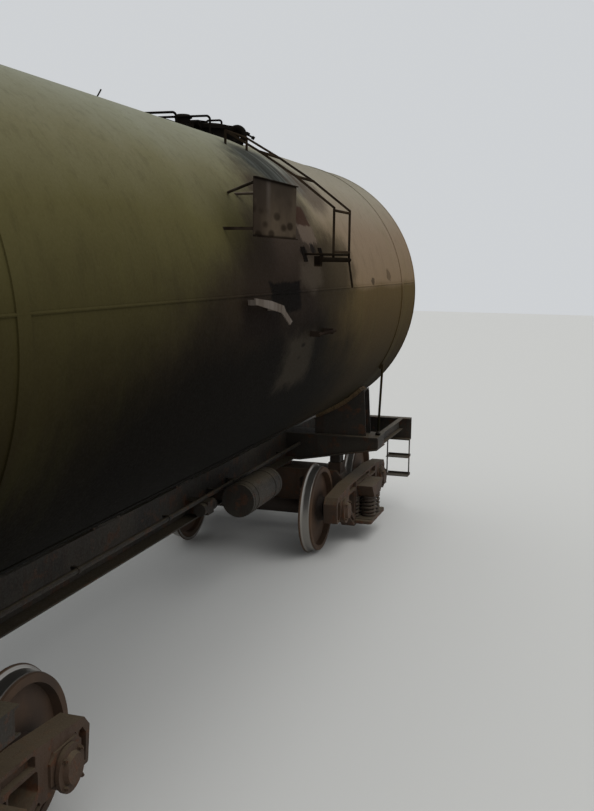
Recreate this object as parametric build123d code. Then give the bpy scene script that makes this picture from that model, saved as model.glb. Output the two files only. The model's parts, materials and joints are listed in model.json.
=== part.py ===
from build123d import *
import os
from math import asin, atan2, cos, degrees, hypot, pi, radians, sin

# Railway tank car for liquids, on two two-axle bogies. All sizes are in millimetres.
# X runs along the car, Y across it and Z up. The origin lies under the middle of the car,
# level with the lowest point of the wheel flanges.

# Wheels and track
TREAD_R = 475
FLANGE_DEPTH = 28
FLANGE_THICKNESS = 32
WHEEL_WIDTH = 130
BACK_TO_BACK = 1440
TYRE_DEPTH = 62
HUB_R = 125
HUB_WIDTH = 190
HUB_OFFSET = 30
WEB_THICKNESS = 26
AXLE_R = 82
JOURNAL_R = 65
AXLE_LENGTH = 2294

# Bogies
BOGIE_CENTRES = 7800
BOGIE_WHEELBASE = 1850
SIDE_FRAME_Y = 1018
SIDE_FRAME_LENGTH = 2413
SIDE_FRAME_THICKNESS = 150
SIDE_FRAME_TOP = 735
SIDE_FRAME_CROWN = 690
SIDE_FRAME_BOTTOM = 185
POCKET_DEPTH = 42
BOX_R = 125
BOX_REACH_IN = 110
BOX_REACH_OUT = 150
BOX_RISE = 140
SPRING_WINDOW_HALF = 318
SPRING_WINDOW_TOP = 650
SPRING_SEAT_Z = 250
SPRING_SEAT_REACH = 268
SPRING_R = 88
SPRING_PITCH = 208
SPRING_ROW = 176
BOLSTER_HALF_LENGTH = 1275
BOLSTER_WIDTH = 440
BOLSTER_END_WIDTH = 326
BOLSTER_TOP = 780
BOLSTER_BOTTOM = 500
BOLSTER_BELLY = 150
CENTRE_PLATE_R = 150
CENTRE_PLATE_Z = 834
SIDE_BEARER_Y = 762
WEDGE_RUN = 120
WEDGE_TOP = 640
BRAKE_BEAM_R = 24
SHOE_THICKNESS = 75

# Tank
TANK_R = 1510
TANK_STRAIGHT = 9270
HEAD_DEPTH = 750
HEAD_KNUCKLE_R = 513
TANK_AXIS_Z = 2862
STRAP_WIDTH = 100
STRAP_THICKNESS = 8

# Hatch, valve, walkway and handrails on top of the tank
HATCH_X = 1720
HATCH_BORE_R = 285
HATCH_NECK_WALL = 14
HATCH_NECK_HEIGHT = 105
HATCH_RECESS = 260
HATCH_FLANGE_R = 335
HATCH_FLANGE_THICKNESS = 18
LID_THICKNESS = 14
LID_DOME = 50
HINGE_PIN_R = 9
VALVE_X = 1110
PLATFORM_X = 600
PLATFORM_LENGTH = 640
PLATFORM_WIDTH = 340
PLATFORM_LIFT = 22
HOOP_HALF_WIDTH = 340
HOOP_TUBE_R = 10
EYE_X = 930
EYE_Y = -590

# Ladders and side board
LADDER_X = 430
LADDER_WIDTH = 510
LADDER_STANDOFF = 180
LADDER_BAR = 18
LADDER_STAY_HALF = 8
LADDER_BEND_RISE = 790
LADDER_TOP_ANGLE = 29
LADDER_FOOT_Z = 960
LADDER_RUNG_PITCH = 320
TORN_FOOT_RISE = 388
RUNG_R = 11
BOARD_X = -985
BOARD_LENGTH = 890
BOARD_HEIGHT = 375
BOARD_RISE = 712
BOARD_STANDOFF = 90
BOARD_THICKNESS = 6

# Underframe
FRAME_LENGTH = 10800
SILL_TOP = 1210
SILL_HEIGHT = 310
SILL_INNER_WIDTH = 330
SILL_PLATE = 12
SILL_FLANGE = 125
END_BEAM_WIDTH = 2760
END_BEAM_DEPTH = 130
END_BEAM_HEIGHT = 290
BOLSTER_BEAM_HALF = 1300
BOLSTER_BEAM_WIDTH = 420
BOLSTER_BEAM_END_HEIGHT = 150
SADDLE_LOW_ANGLE = 19
SADDLE_HIGH_ANGLE = 45
SADDLE_WIDTH = 260
BLOCK_THICKNESS = 50
PIPE_R = 21
COUPLER_HEIGHT = 1060
COUPLER_REACH = 610
SHANK_SIZE = 130
HEAD_HEIGHT = 300
DRAIN_BORE_R = 100
DRAIN_LENGTH = 215

# Brake gear under the frame
CYLINDER_X = -1500
CYLINDER_Y = 520
CYLINDER_R = 178
RESERVOIR_X = 1500
RESERVOIR_Y = -560
RESERVOIR_R = 160
GEAR_Z = 1000
BRAKE_ROD_Y = 190
BRAKE_ROD_Z = 858
LIVE_LEVER_X = CYLINDER_X + 400
DEAD_LEVER_X = CYLINDER_X - 360
LEVER_HALF_THICKNESS = 10
HAND_WHEEL_X = -2300
HAND_WHEEL_R = 225

# Clearances
SEAT_GAP = 0.3
MOVING_GAP = 5

RAIL_Z = FLANGE_DEPTH
FLANGE_R = TREAD_R + FLANGE_DEPTH
AXLE_CENTRE_Z = TREAD_R + FLANGE_DEPTH
TANK_BOTTOM = TANK_AXIS_Z - TANK_R
TANK_TOP = TANK_AXIS_Z + TANK_R
HALF_STRAIGHT = TANK_STRAIGHT / 2
SILL_BOTTOM = SILL_TOP - SILL_HEIGHT
SILL_WEB_Y = SILL_INNER_WIDTH / 2 + SILL_PLATE
SILL_EDGE_Y = SILL_WEB_Y + SILL_FLANGE
COUPLER_Z = RAIL_Z + COUPLER_HEIGHT
BOGIE_X = BOGIE_CENTRES / 2
FRAME_END = FRAME_LENGTH / 2
COUPLER_FACE_X = FRAME_END + COUPLER_REACH
LADDER_Y = TANK_R + LADDER_STANDOFF
LADDER_BEND_Z = TANK_AXIS_Z + LADDER_BEND_RISE
BOARD_Y = TANK_R + BOARD_STANDOFF
BOARD_CENTRE_Z = TANK_AXIS_Z + BOARD_RISE
PIPE_Y = -(SILL_EDGE_Y + 40)
PIPE_Z = SILL_TOP - 130


def block(x, y, z):
    """A box between two limits on each axis."""
    size = (x[1] - x[0], y[1] - y[0], z[1] - z[0])
    centre = ((x[0] + x[1]) / 2, (y[0] + y[1]) / 2, (z[0] + z[1]) / 2)
    return Pos(*centre) * Box(*size)


def rod(start, end, radius):
    """A round bar from one point to another."""
    axis = Vector(*end) - Vector(*start)
    return Part() + Solid.make_cylinder(radius, axis.length, Plane(Vector(*start), z_dir=axis))


def ring(x, y, z, outer, inner, height):
    """An upright ring that stands on z."""
    blank = Cylinder(outer, height) - Cylinder(inner, height)
    return Pos(x, y, z + height / 2) * blank


def rounded(points, radius):
    """A flat face on a closed outline, with its corners rounded if a radius is given."""
    face = make_face(Polyline(*points, close=True))
    return fillet(face.vertices(), radius) if radius else face


def across(points, half_width, x=0, corner_r=0):
    """A plate whose outline lies in YZ, as thick along X as twice the half width."""
    face = rounded([(x - half_width, y, z) for y, z in points], corner_r)
    return extrude(face, amount=2 * half_width, dir=(1, 0, 0))


def along(points, half_width, y=0, corner_r=0):
    """A plate whose outline lies in XZ, as thick along Y as twice the half width."""
    face = rounded([(x, y - half_width, z) for x, z in points], corner_r)
    return extrude(face, amount=2 * half_width, dir=(0, 1, 0))


def upright(points, low, high, corner_r=0):
    """A plate whose outline lies in XY, from one height to another."""
    face = rounded([(x, y, low) for x, y in points], corner_r)
    return extrude(face, amount=high - low, dir=(0, 0, 1))


def flat_bar(points, width, thickness):
    """A flat bar bent along straight runs in a plane across the car; its width lies along the car."""
    path = Polyline(*points)
    section = Plane(origin=path @ 0, x_dir=(1, 0, 0), z_dir=path % 0) * Rectangle(width, thickness)
    return sweep(section, path=path, transition=Transition.RIGHT)


def tube_run(points, radii, radius):
    """A round bar or tube along straight runs joined by arcs."""
    path = FilletPolyline(*points, radius=radii)
    start = Plane(origin=path @ 0, z_dir=path % 0)
    return sweep(start * Circle(radius), path=path)


def both_sides(piece):
    """The piece and its mirror image across the middle plane of the car."""
    return piece + mirror(piece, about=Plane.XZ)


def tank_band(inner, outer, low_angle, high_angle, half_width, x=0):
    """A band round the tank, between two angles measured from straight down."""
    middle = (low_angle + high_angle) / 2

    def at(radius, angle):
        turn = radians(angle)
        return (x - half_width, radius * sin(turn), TANK_AXIS_Z - radius * cos(turn))

    edges = [
        ThreePointArc(at(inner, low_angle), at(inner, middle), at(inner, high_angle)),
        Line(at(inner, high_angle), at(outer, high_angle)),
        ThreePointArc(at(outer, high_angle), at(outer, middle), at(outer, low_angle)),
        Line(at(outer, low_angle), at(inner, low_angle)),
    ]
    return extrude(make_face(edges), amount=2 * half_width, dir=(1, 0, 0))


# Tank

def tank_barrel():
    """The closed tank: a round barrel, two dished heads and the mouth of the hatch."""
    knuckle_x = HALF_STRAIGHT
    knuckle_r = TANK_R - HEAD_KNUCKLE_R
    crown = (HEAD_DEPTH**2 + TANK_R**2 - 2 * TANK_R * HEAD_KNUCKLE_R) / (2 * (HEAD_DEPTH - HEAD_KNUCKLE_R))
    crown_x = HALF_STRAIGHT + HEAD_DEPTH - crown
    meet = atan2(knuckle_r, knuckle_x - crown_x)
    joint = (crown_x + crown * cos(meet), 0, crown * sin(meet))
    half_knuckle = (meet + pi / 2) / 2
    knuckle_mid = (knuckle_x + HEAD_KNUCKLE_R * cos(half_knuckle), 0, knuckle_r + HEAD_KNUCKLE_R * sin(half_knuckle))
    crown_mid = (crown_x + crown * cos(meet / 2), 0, crown * sin(meet / 2))
    outline = [
        Line((0, 0, 0), (0, 0, TANK_R)),
        Line((0, 0, TANK_R), (knuckle_x, 0, TANK_R)),
        ThreePointArc((knuckle_x, 0, TANK_R), knuckle_mid, joint),
        ThreePointArc(joint, crown_mid, (HALF_STRAIGHT + HEAD_DEPTH, 0, 0)),
        Line((HALF_STRAIGHT + HEAD_DEPTH, 0, 0), (0, 0, 0)),
    ]
    half = revolve(make_face(outline), Axis.X, 360)
    tank = Pos(0, 0, TANK_AXIS_Z) * (half + mirror(half, about=Plane.YZ))
    mouth = Pos(HATCH_X, 0, TANK_TOP) * Cylinder(HATCH_BORE_R, 2 * HATCH_RECESS)
    return tank - mouth


def on_tank(piece):
    """Cuts away what would lie inside the barrel, with a hair's gap."""
    barrel = Pos(0, 0, TANK_AXIS_Z) * (Rot(0, 90, 0) * Cylinder(TANK_R + SEAT_GAP, TANK_STRAIGHT))
    return piece - barrel


HATCH_TOP = TANK_TOP + HATCH_NECK_HEIGHT
HINGE_X = HATCH_X - HATCH_FLANGE_R - 45
HINGE_Z = HATCH_TOP + 22


def hatch_neck():
    """The collar round the hatch, with its flange and the ears of the lid's hinge."""
    sunk = 120
    collar = ring(HATCH_X, 0, TANK_TOP - sunk, HATCH_BORE_R + HATCH_NECK_WALL, HATCH_BORE_R, sunk + HATCH_NECK_HEIGHT)
    flange_z = HATCH_TOP - HATCH_FLANGE_THICKNESS
    flange = ring(HATCH_X, 0, flange_z, HATCH_FLANGE_R, HATCH_BORE_R, HATCH_FLANGE_THICKNESS)
    neck = on_tank(collar + flange)
    ear_table = ((-58, 12), (58, 12))  # middle of the ear across the car, thickness
    for ear_y, thickness in ear_table:
        points = (
            (HATCH_X - HATCH_BORE_R - HATCH_NECK_WALL, flange_z),
            (HATCH_X - HATCH_BORE_R - HATCH_NECK_WALL, HATCH_TOP - 60),
            (HINGE_X - 22, HINGE_Z - 22),
            (HINGE_X - 22, HINGE_Z + 20),
            (HINGE_X + 20, HINGE_Z + 20),
            (HATCH_X - HATCH_FLANGE_R + 4, flange_z),
        )
        neck += along(points, thickness / 2, ear_y)
    return neck + rod((HINGE_X, -74, HINGE_Z), (HINGE_X, 74, HINGE_Z), HINGE_PIN_R)


def hatch_lid():
    """The domed lid with its hinge strap, rim and handle."""
    base = HATCH_TOP + SEAT_GAP
    rim = Pos(HATCH_X, 0, base + LID_THICKNESS / 2) * Cylinder(HATCH_FLANGE_R, LID_THICKNESS)
    dome_r = (HATCH_BORE_R**2 + LID_DOME**2) / (2 * LID_DOME)
    dome_base = base + LID_THICKNESS
    ball = Pos(HATCH_X, 0, dome_base + LID_DOME - dome_r) * Sphere(dome_r)
    slab = Pos(HATCH_X, 0, dome_base + LID_DOME / 2 + 1) * Cylinder(HATCH_BORE_R, LID_DOME + 2)
    lid = rim + (ball & slab)
    strap_points = (
        (HINGE_X, HINGE_Z - 20),
        (HINGE_X + 24, base),
        (HATCH_X - 120, base + 6),
        (HATCH_X - 120, base + LID_THICKNESS + LID_DOME + 4),
        (HINGE_X + 10, HINGE_Z + 24),
        (HINGE_X, HINGE_Z + 24),
    )
    strap = along(strap_points, 40) + rod((HINGE_X, -46, HINGE_Z), (HINGE_X, 46, HINGE_Z), 24)
    flange = Pos(HATCH_X, 0, base - 50) * Cylinder(HATCH_FLANGE_R + 6, 100)
    lid += strap - flange
    lid -= rod((HINGE_X, -60, HINGE_Z), (HINGE_X, 60, HINGE_Z), HINGE_PIN_R + 0.1)
    top = base + LID_THICKNESS + LID_DOME
    handle_x = HATCH_X + 130
    handle = tube_run(
        ((handle_x, -80, top - 30), (handle_x, -80, top + 45), (handle_x, 80, top + 45), (handle_x, 80, top - 30)),
        25,
        HOOP_TUBE_R,
    )
    return lid + handle


def hatch_clamps():
    """The swing bolts of the lid, let down on their pins round the flange."""
    clamps = Part()
    pivot = HATCH_FLANGE_R + 22
    pivot_z = HATCH_TOP - HATCH_FLANGE_THICKNESS / 2
    for angle in (-100, -60, -20, 20, 60, 100):
        ears = Part()
        for y in (-16, 16):
            ears += block((HATCH_FLANGE_R + SEAT_GAP, pivot + 14), (y - 4, y + 4), (pivot_z - 20, HATCH_TOP - 1))
        pin = rod((pivot, -22, pivot_z - 4), (pivot, 22, pivot_z - 4), 6)
        bolt = rod((pivot, 0, pivot_z - 4), (pivot + 84, 0, pivot_z - 50), 9)
        nut = rod((pivot + 66, 0, pivot_z - 40), (pivot + 90, 0, pivot_z - 53), 17)
        clamps += Pos(HATCH_X, 0, 0) * (Rot(0, 0, angle) * (ears + pin + bolt + nut))
    return clamps


def relief_valve():
    """The combined relief and inlet valve: a flanged body under a wider cap."""
    flange = TANK_TOP + 68
    profile = (  # radius, height
        (0, TANK_TOP - 40),
        (60, TANK_TOP - 40),
        (60, flange - 16),
        (98, flange - 16),
        (98, flange + 12),
        (66, flange + 12),
        (66, flange + 66),
        (82, flange + 66),
        (82, flange + 82),
        (58, flange + 98),
        (0, flange + 98),
    )
    outline = Polyline(*[(r, 0, z) for r, z in profile], close=True)
    return on_tank(Pos(VALVE_X, 0, 0) * revolve(make_face(outline), Axis.Z, 360))


def top_platform():
    """The low walkway on the crown of the barrel: slats on two bearers with their legs."""
    deck = Part()
    low = TANK_TOP + PLATFORM_LIFT
    x_low = PLATFORM_X - PLATFORM_LENGTH / 2
    x_high = PLATFORM_X + PLATFORM_LENGTH / 2
    slat = 92
    pitch = 120
    count = int(PLATFORM_WIDTH / pitch) + 1
    first = -pitch * (count - 1) / 2
    for number in range(count):
        y = first + pitch * number
        deck += block((x_low, x_high), (y - slat / 2, y + slat / 2), (low, low + 6))
    for x in (x_low + 60, x_high - 60):
        deck += block((x - 25, x + 25), (-PLATFORM_WIDTH / 2, PLATFORM_WIDTH / 2), (low - 8, low))
        for y in (-PLATFORM_WIDTH / 2 + 20, PLATFORM_WIDTH / 2 - 20):
            deck += on_tank(block((x - 20, x + 20), (y - 6, y + 6), (TANK_TOP - 90, low - 8)))
    return deck


def grab_hoops():
    """The two hoops across the barrel's crown, a thick eye beside the hatch and a bent pin."""
    hoops = Part()
    hoop_table = (  # along the car, height over the tank's top
        (LADDER_X - 230, 49),
        (LADDER_X + 490, 120),
    )
    for x, rise in hoop_table:
        high = TANK_TOP + rise
        foot = TANK_TOP - 90
        points = (
            (x, -HOOP_HALF_WIDTH, foot),
            (x, -HOOP_HALF_WIDTH, high),
            (x, HOOP_HALF_WIDTH, high),
            (x, HOOP_HALF_WIDTH, foot),
        )
        hoops += on_tank(tube_run(points, 35, HOOP_TUBE_R))
    surface_z = TANK_AXIS_Z + TANK_R * cos(asin(EYE_Y / TANK_R))
    eye_r = 65
    bar_r = 27
    eye = Pos(EYE_X, EYE_Y, surface_z + eye_r) * (Rot(0, 90, 0) * Torus(eye_r, bar_r))
    pad = block((EYE_X - 40, EYE_X + 40), (EYE_Y - 45, EYE_Y + 45), (surface_z - 60, surface_z + 14))
    hoops += on_tank(eye + pad)
    pin_x = -500
    pin = tube_run(((pin_x, 0, TANK_TOP - 20), (pin_x, 0, TANK_TOP + 60), (pin_x + 75, 0, TANK_TOP + 135)), 25, 6)
    return hoops + on_tank(pin)


def ladder(foot_z):
    """A side ladder on the photographed side: bars that stand straight and then follow the barrel."""
    bars = Part()
    bend_angle = degrees(atan2(LADDER_Y, LADDER_BEND_RISE))
    end_r = TANK_R + 90
    bend_r = hypot(LADDER_Y, LADDER_BEND_RISE)

    def at(share):
        """A point of the upper part, from the bend to its end, a little in from the straight."""
        turn = radians(bend_angle + (LADDER_TOP_ANGLE - bend_angle) * share)
        radius = bend_r + (end_r - bend_r) * (1 - (1 - share) ** 2)
        return (-radius * sin(turn), TANK_AXIS_Z + radius * cos(turn))

    upper = [at(share) for share in (1 / 3, 2 / 3, 1)]
    inset = LADDER_BAR / 2
    for side in (-1, 1):
        x = LADDER_X + side * (LADDER_WIDTH / 2 - inset)
        points = [(x, -LADDER_Y, foot_z), (x, -LADDER_Y, LADDER_BEND_Z)] + [(x, y, z) for y, z in upper]
        bars += flat_bar(points, inset, LADDER_BAR)
    half = LADDER_WIDTH / 2 - LADDER_BAR + 10
    heights = int((LADDER_BEND_Z - foot_z) / LADDER_RUNG_PITCH) + 1
    rungs = [(-LADDER_Y, LADDER_BEND_Z - 20 - number * LADDER_RUNG_PITCH) for number in range(heights)]
    for y, z in rungs + upper:
        if z > foot_z:
            bars += rod((LADDER_X - half, y, z), (LADDER_X + half, y, z), RUNG_R)
    foot_y = upper[-1][0]
    bracket_table = (  # where a stay leaves the bar: across the car and height
        (-LADDER_Y, TANK_AXIS_Z + 430),
        (-LADDER_Y, TANK_AXIS_Z - 560),
    )
    for side in (-1, 1):
        x = LADDER_X + side * (LADDER_WIDTH / 2 - inset)
        for y, z in bracket_table:
            if z > foot_z:
                bars += on_tank(block((x - 6, x + 6), (y, y + LADDER_STANDOFF * 2),
                                       (z - LADDER_STAY_HALF, z + LADDER_STAY_HALF)))
        bars += on_tank(block((x - 6, x + 6), (foot_y - inset, foot_y + inset),
                              (upper[-1][1] - 200, upper[-1][1])))
    return bars


def near_ladder():
    """The ladder on the photographed side. Its lower part is torn off and its bottom step is bent."""
    foot = TANK_AXIS_Z + TORN_FOOT_RISE
    whole = ladder(foot)
    step = rod((LADDER_X - 700, -LADDER_Y, foot), (LADDER_X + LADDER_WIDTH / 2, -LADDER_Y, foot), 18)
    torn_x = LADDER_X + LADDER_WIDTH / 2 - LADDER_BAR / 2
    torn = rod((torn_x, -LADDER_Y, foot), (torn_x + 200, -LADDER_Y + 15, foot - 228), 9)
    end_x = LADDER_X - 700
    clip = block((end_x, end_x + 55), (-LADDER_Y - 24, -LADDER_Y + 24), (foot - 52, foot + 26))
    return whole + step + clip + torn


def far_ladder():
    """The ladder on the other side, whole down to its foot."""
    return mirror(ladder(LADDER_FOOT_Z), about=Plane.XZ)


def ladder_remains():
    """What is left on the barrel below the torn ladder: its low bracket and a bent step plate."""
    low = TANK_AXIS_Z - 205
    half = LADDER_WIDTH / 2
    left = rod((LADDER_X - half, -TANK_R - 70, low), (LADDER_X + half, -TANK_R - 70, low), 13)
    for side in (-1, 1):
        x = LADDER_X + side * (half - 60)
        left += on_tank(block((x - 8, x + 8), (-TANK_R - 70, -TANK_R + 60), (low - 22, low + 22)))
    plate_y = -TANK_R - 88
    outline = (  # the plate hangs from its right end, where it was wrung down
        (-1375, TANK_AXIS_Z + 132),
        (-1050, TANK_AXIS_Z + 104),
        (-780, TANK_AXIS_Z + 62),
        (-735, TANK_AXIS_Z + 22),
        (-580, TANK_AXIS_Z - 58),
        (-640, TANK_AXIS_Z - 82),
        (-790, TANK_AXIS_Z - 2),
        (-830, TANK_AXIS_Z + 14),
        (-1370, TANK_AXIS_Z + 92),
    )
    plate = along(outline, 4, plate_y)
    for x, z in ((-860, TANK_AXIS_Z + 46), (-1250, TANK_AXIS_Z + 98)):
        plate += on_tank(block((x - 7, x + 7), (plate_y, -TANK_R + 60), (z - 18, z + 18)))
    return left + plate


def side_board():
    """A plain sheet with turned edges, on slanting stays above and short arms below."""
    x = (BOARD_X - BOARD_LENGTH / 2, BOARD_X + BOARD_LENGTH / 2)
    z = (BOARD_CENTRE_Z - BOARD_HEIGHT / 2, BOARD_CENTRE_Z + BOARD_HEIGHT / 2)
    sheet = block(x, (-BOARD_Y - BOARD_THICKNESS, -BOARD_Y), z)
    lip = 22
    for low in (z[0], z[1] - BOARD_THICKNESS):
        sheet += block(x, (-BOARD_Y - lip, -BOARD_Y), (low, low + BOARD_THICKNESS))
    high_z = z[1] - 35
    high_y = -TANK_R * cos(asin((high_z - TANK_AXIS_Z) / TANK_R))
    edge_table = (  # edge of the sheet, how far along the car its stay slants
        (x[0] + 12, 470),
        (x[1] - 12, -350),
    )
    for edge, slant in edge_table:
        stay = rod((edge, -BOARD_Y, high_z), (edge + slant, high_y + 20, high_z - 40), 10)
        sheet += on_tank(stay)
        arm = block((edge - 8, edge + 8), (-BOARD_Y, -BOARD_Y + 260), (z[0] + 40, z[0] + 60))
        sheet += on_tank(arm)
    return sheet


def tank_strap(x):
    """A steel band over the tank, down to its tie bolts on the bolster beam."""
    inner = TANK_R + SEAT_GAP
    outer = inner + STRAP_THICKNESS
    low = SADDLE_HIGH_ANGLE + 12
    band = tank_band(inner, outer, low, 360 - low, STRAP_WIDTH / 2, x)
    turn = radians(low)
    lug_y = (outer + 14) * sin(turn)
    lug_z = TANK_AXIS_Z - (outer + 14) * cos(turn)
    lugs = Part()
    lug = on_tank(block((x - 40, x + 40), (lug_y - 22, lug_y + 26), (lug_z - 24, lug_z + 30)))
    tie_y = BOLSTER_BEAM_HALF - 40
    tie = rod((x, lug_y + 8, lug_z - 24), (x, tie_y, SILL_TOP + 12), 14)
    foot = block((x - 26, x + 26), (tie_y - 26, tie_y + 26), (SILL_TOP, SILL_TOP + 24))
    lugs += lug + tie + foot
    return band + both_sides(lugs)


def tank_saddle(x):
    """The two pressed seats on a bolster beam that carry the end of the tank."""
    outer = TANK_R + BLOCK_THICKNESS + 2 * SEAT_GAP
    turns = (radians(SADDLE_LOW_ANGLE), radians(SADDLE_HIGH_ANGLE))
    tray = tank_band(outer, outer + 14, SADDLE_LOW_ANGLE, SADDLE_HIGH_ANGLE, SADDLE_WIDTH / 2, x)
    outer_low = outer + 14
    low_y = outer_low * sin(turns[0])
    low_z = TANK_AXIS_Z - outer_low * cos(turns[0])
    high_y = outer_low * sin(turns[1])
    high_z = TANK_AXIS_Z - outer_low * cos(turns[1])
    rib_points = (
        (low_y + 10, SILL_TOP),
        (low_y + 10, low_z + 30),
        (high_y - 20, high_z + 10),
        (high_y, high_z - 20),
        (high_y + 30, SILL_TOP),
    )
    below = Pos(x, 0, TANK_AXIS_Z) * (Rot(0, 90, 0) * Cylinder(outer + 7, SADDLE_WIDTH * 2))
    saddle = tray
    for rib_x in (-SADDLE_WIDTH / 2 + 12, SADDLE_WIDTH / 2 - 12):
        saddle += across(rib_points, 7, x + rib_x) - below
    for share in (0.25, 0.75):
        y = low_y + 10 + (high_y + 20 - low_y) * share
        reach = SADDLE_WIDTH / 2 - 12
        web = block((x - reach, x + reach), (y - 6, y + 6), (SILL_TOP, TANK_AXIS_Z))
        saddle += web - below
    return both_sides(saddle)


def saddle_blocks():
    """The wooden blocks that the tank rests on."""
    blocks = Part()
    inner = TANK_R + SEAT_GAP
    for x in (-BOGIE_X, BOGIE_X):
        for x_shift in (-65, 65):
            low, high = SADDLE_LOW_ANGLE + 1, SADDLE_HIGH_ANGLE - 1
            blocks += both_sides(tank_band(inner, inner + BLOCK_THICKNESS, low, high, 55, x + x_shift))
    return blocks


def tank_feet():
    """The shaped feet at mid length that tie the tank to the centre sill."""
    feet = Part()
    half = SILL_WEB_Y - 5
    high = TANK_BOTTOM + 60
    outline = ((-half, SILL_TOP), (half, SILL_TOP), (half + 120, high), (-half - 120, high))
    for x in (-900, -600, 600, 900):
        feet += on_tank(across(outline, 8, x))
    for x in (-750, 750):
        pad = block((x - 210, x + 210), (-half, half), (SILL_TOP, SILL_TOP + 14))
        feet += pad
    return feet


# Underframe

def centre_sill():
    """Two Z sections welded top to top, open below."""
    web = SILL_WEB_Y
    inner = web - SILL_PLATE
    foot = web + SILL_FLANGE
    low = SILL_BOTTOM
    right = (
        (web, SILL_TOP),
        (web, low + SILL_PLATE),
        (foot, low + SILL_PLATE),
        (foot, low),
        (inner, low),
        (inner, SILL_TOP - SILL_PLATE),
    )
    left = tuple((-y, z) for y, z in reversed(right))
    sill = across(right + left, FRAME_END - SILL_PLATE - SEAT_GAP)
    return sill - Pos(0, 0, SILL_TOP) * Cylinder(DRAIN_BORE_R + 18, 60)


def bolster_beam(x):
    """The cross beam over a bogie: two webs between plates, cut round the centre sill."""
    half = BOLSTER_BEAM_HALF
    deep = SILL_BOTTOM - SILL_PLATE
    shallow = SILL_TOP - BOLSTER_BEAM_END_HEIGHT
    break_y = SILL_EDGE_Y + 60
    web_points = (
        (-half, SILL_TOP),
        (half, SILL_TOP),
        (half, shallow),
        (break_y, deep),
        (-break_y, deep),
        (-half, shallow),
    )
    beam = Part()
    for web_x in (-BOLSTER_BEAM_WIDTH / 2 + 50, BOLSTER_BEAM_WIDTH / 2 - 50):
        beam += across(web_points, 6, x + web_x)
    wide_x = (x - BOLSTER_BEAM_WIDTH / 2, x + BOLSTER_BEAM_WIDTH / 2)
    beam += block(wide_x, (-half, half), (SILL_TOP - 12, SILL_TOP))
    for side in (-1, 1):
        slope = (
            (side * half, shallow),
            (side * half, shallow + 12),
            (side * break_y, deep + 12),
            (side * break_y, deep),
        )
        beam += across(slope, BOLSTER_BEAM_WIDTH / 2, x)
        cap_y = sorted((side * half, side * (half - 10)))
        beam += block((x - BOLSTER_BEAM_WIDTH / 2 + 44, x + BOLSTER_BEAM_WIDTH / 2 - 44), cap_y, (shallow, SILL_TOP))
    beam += block(wide_x, (-break_y, break_y), (deep, deep + 12))
    channel_y = (-SILL_WEB_Y, SILL_WEB_Y)
    wide = (-SILL_EDGE_Y, SILL_EDGE_Y)
    beam -= block((x - 400, x + 400), channel_y, (SILL_BOTTOM, SILL_TOP + 1))
    beam -= block((x - 400, x + 400), wide, (SILL_BOTTOM, SILL_BOTTOM + SILL_PLATE))
    pad_high = deep
    plate = Pos(x, 0, (pad_high + CENTRE_PLATE_Z) / 2) * Cylinder(CENTRE_PLATE_R, pad_high - CENTRE_PLATE_Z)
    beam += plate
    for side in (-1, 1):
        slope_z = deep + (shallow - deep) * (SIDE_BEARER_Y - break_y) / (half - break_y)
        bearer_y = (SIDE_BEARER_Y - 60, SIDE_BEARER_Y + 60)
        bearer = block((x - 90, x + 90), bearer_y, (CENTRE_PLATE_Z + 30, slope_z + 40))
        if side < 0:
            bearer = mirror(bearer, about=Plane.XZ)
        beam += bearer
    return beam - pipe_hole(x, 400)


def end_beam(x):
    """The channel across the end of the frame, with the striker round the coupler."""
    back = -1 if x > 0 else 1
    half = END_BEAM_WIDTH / 2
    front = x
    points = (
        (front, SILL_TOP),
        (front, SILL_TOP - END_BEAM_HEIGHT),
        (front + back * END_BEAM_DEPTH, SILL_TOP - END_BEAM_HEIGHT),
        (front + back * END_BEAM_DEPTH, SILL_TOP - END_BEAM_HEIGHT + SILL_PLATE),
        (front + back * SILL_PLATE, SILL_TOP - END_BEAM_HEIGHT + SILL_PLATE),
        (front + back * SILL_PLATE, SILL_TOP - SILL_PLATE),
        (front + back * END_BEAM_DEPTH, SILL_TOP - SILL_PLATE),
        (front + back * END_BEAM_DEPTH, SILL_TOP),
    )
    beam = along(points, half)
    room = sorted((front + back * SILL_PLATE, front + back * (END_BEAM_DEPTH + 10)))
    beam -= block(room, (-SILL_EDGE_Y, SILL_EDGE_Y), (SILL_BOTTOM - 30, SILL_TOP + 1))
    mouth = SHANK_SIZE / 2 + 35
    striker_z = (COUPLER_Z - mouth - 35, COUPLER_Z + mouth + 20)
    beam += block(sorted((front, front - back * 110)), (-mouth - 35, mouth + 35), striker_z)
    hole = sorted((front + back * 60, front - back * 140))
    beam -= pipe_hole(x, 50)
    return beam - block(hole, (-mouth, mouth), (COUPLER_Z - mouth, COUPLER_Z + mouth))


def side_sills():
    """The short side sills between each bolster beam and end beam."""
    sills = Part()
    start = BOGIE_X + BOLSTER_BEAM_WIDTH / 2
    stop = FRAME_END - END_BEAM_DEPTH
    y = BOLSTER_BEAM_HALF - 70
    depth = 140
    outline = ((y, SILL_TOP), (y, SILL_TOP - depth), (y + 60, SILL_TOP - depth), (y + 60, SILL_TOP - depth + 8),
               (y + 8, SILL_TOP - depth + 8), (y + 8, SILL_TOP - 8), (y + 60, SILL_TOP - 8), (y + 60, SILL_TOP))
    piece = across(outline, (stop - start) / 2, (start + stop) / 2)
    pair = both_sides(piece)
    return pair + mirror(pair, about=Plane.YZ)


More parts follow.
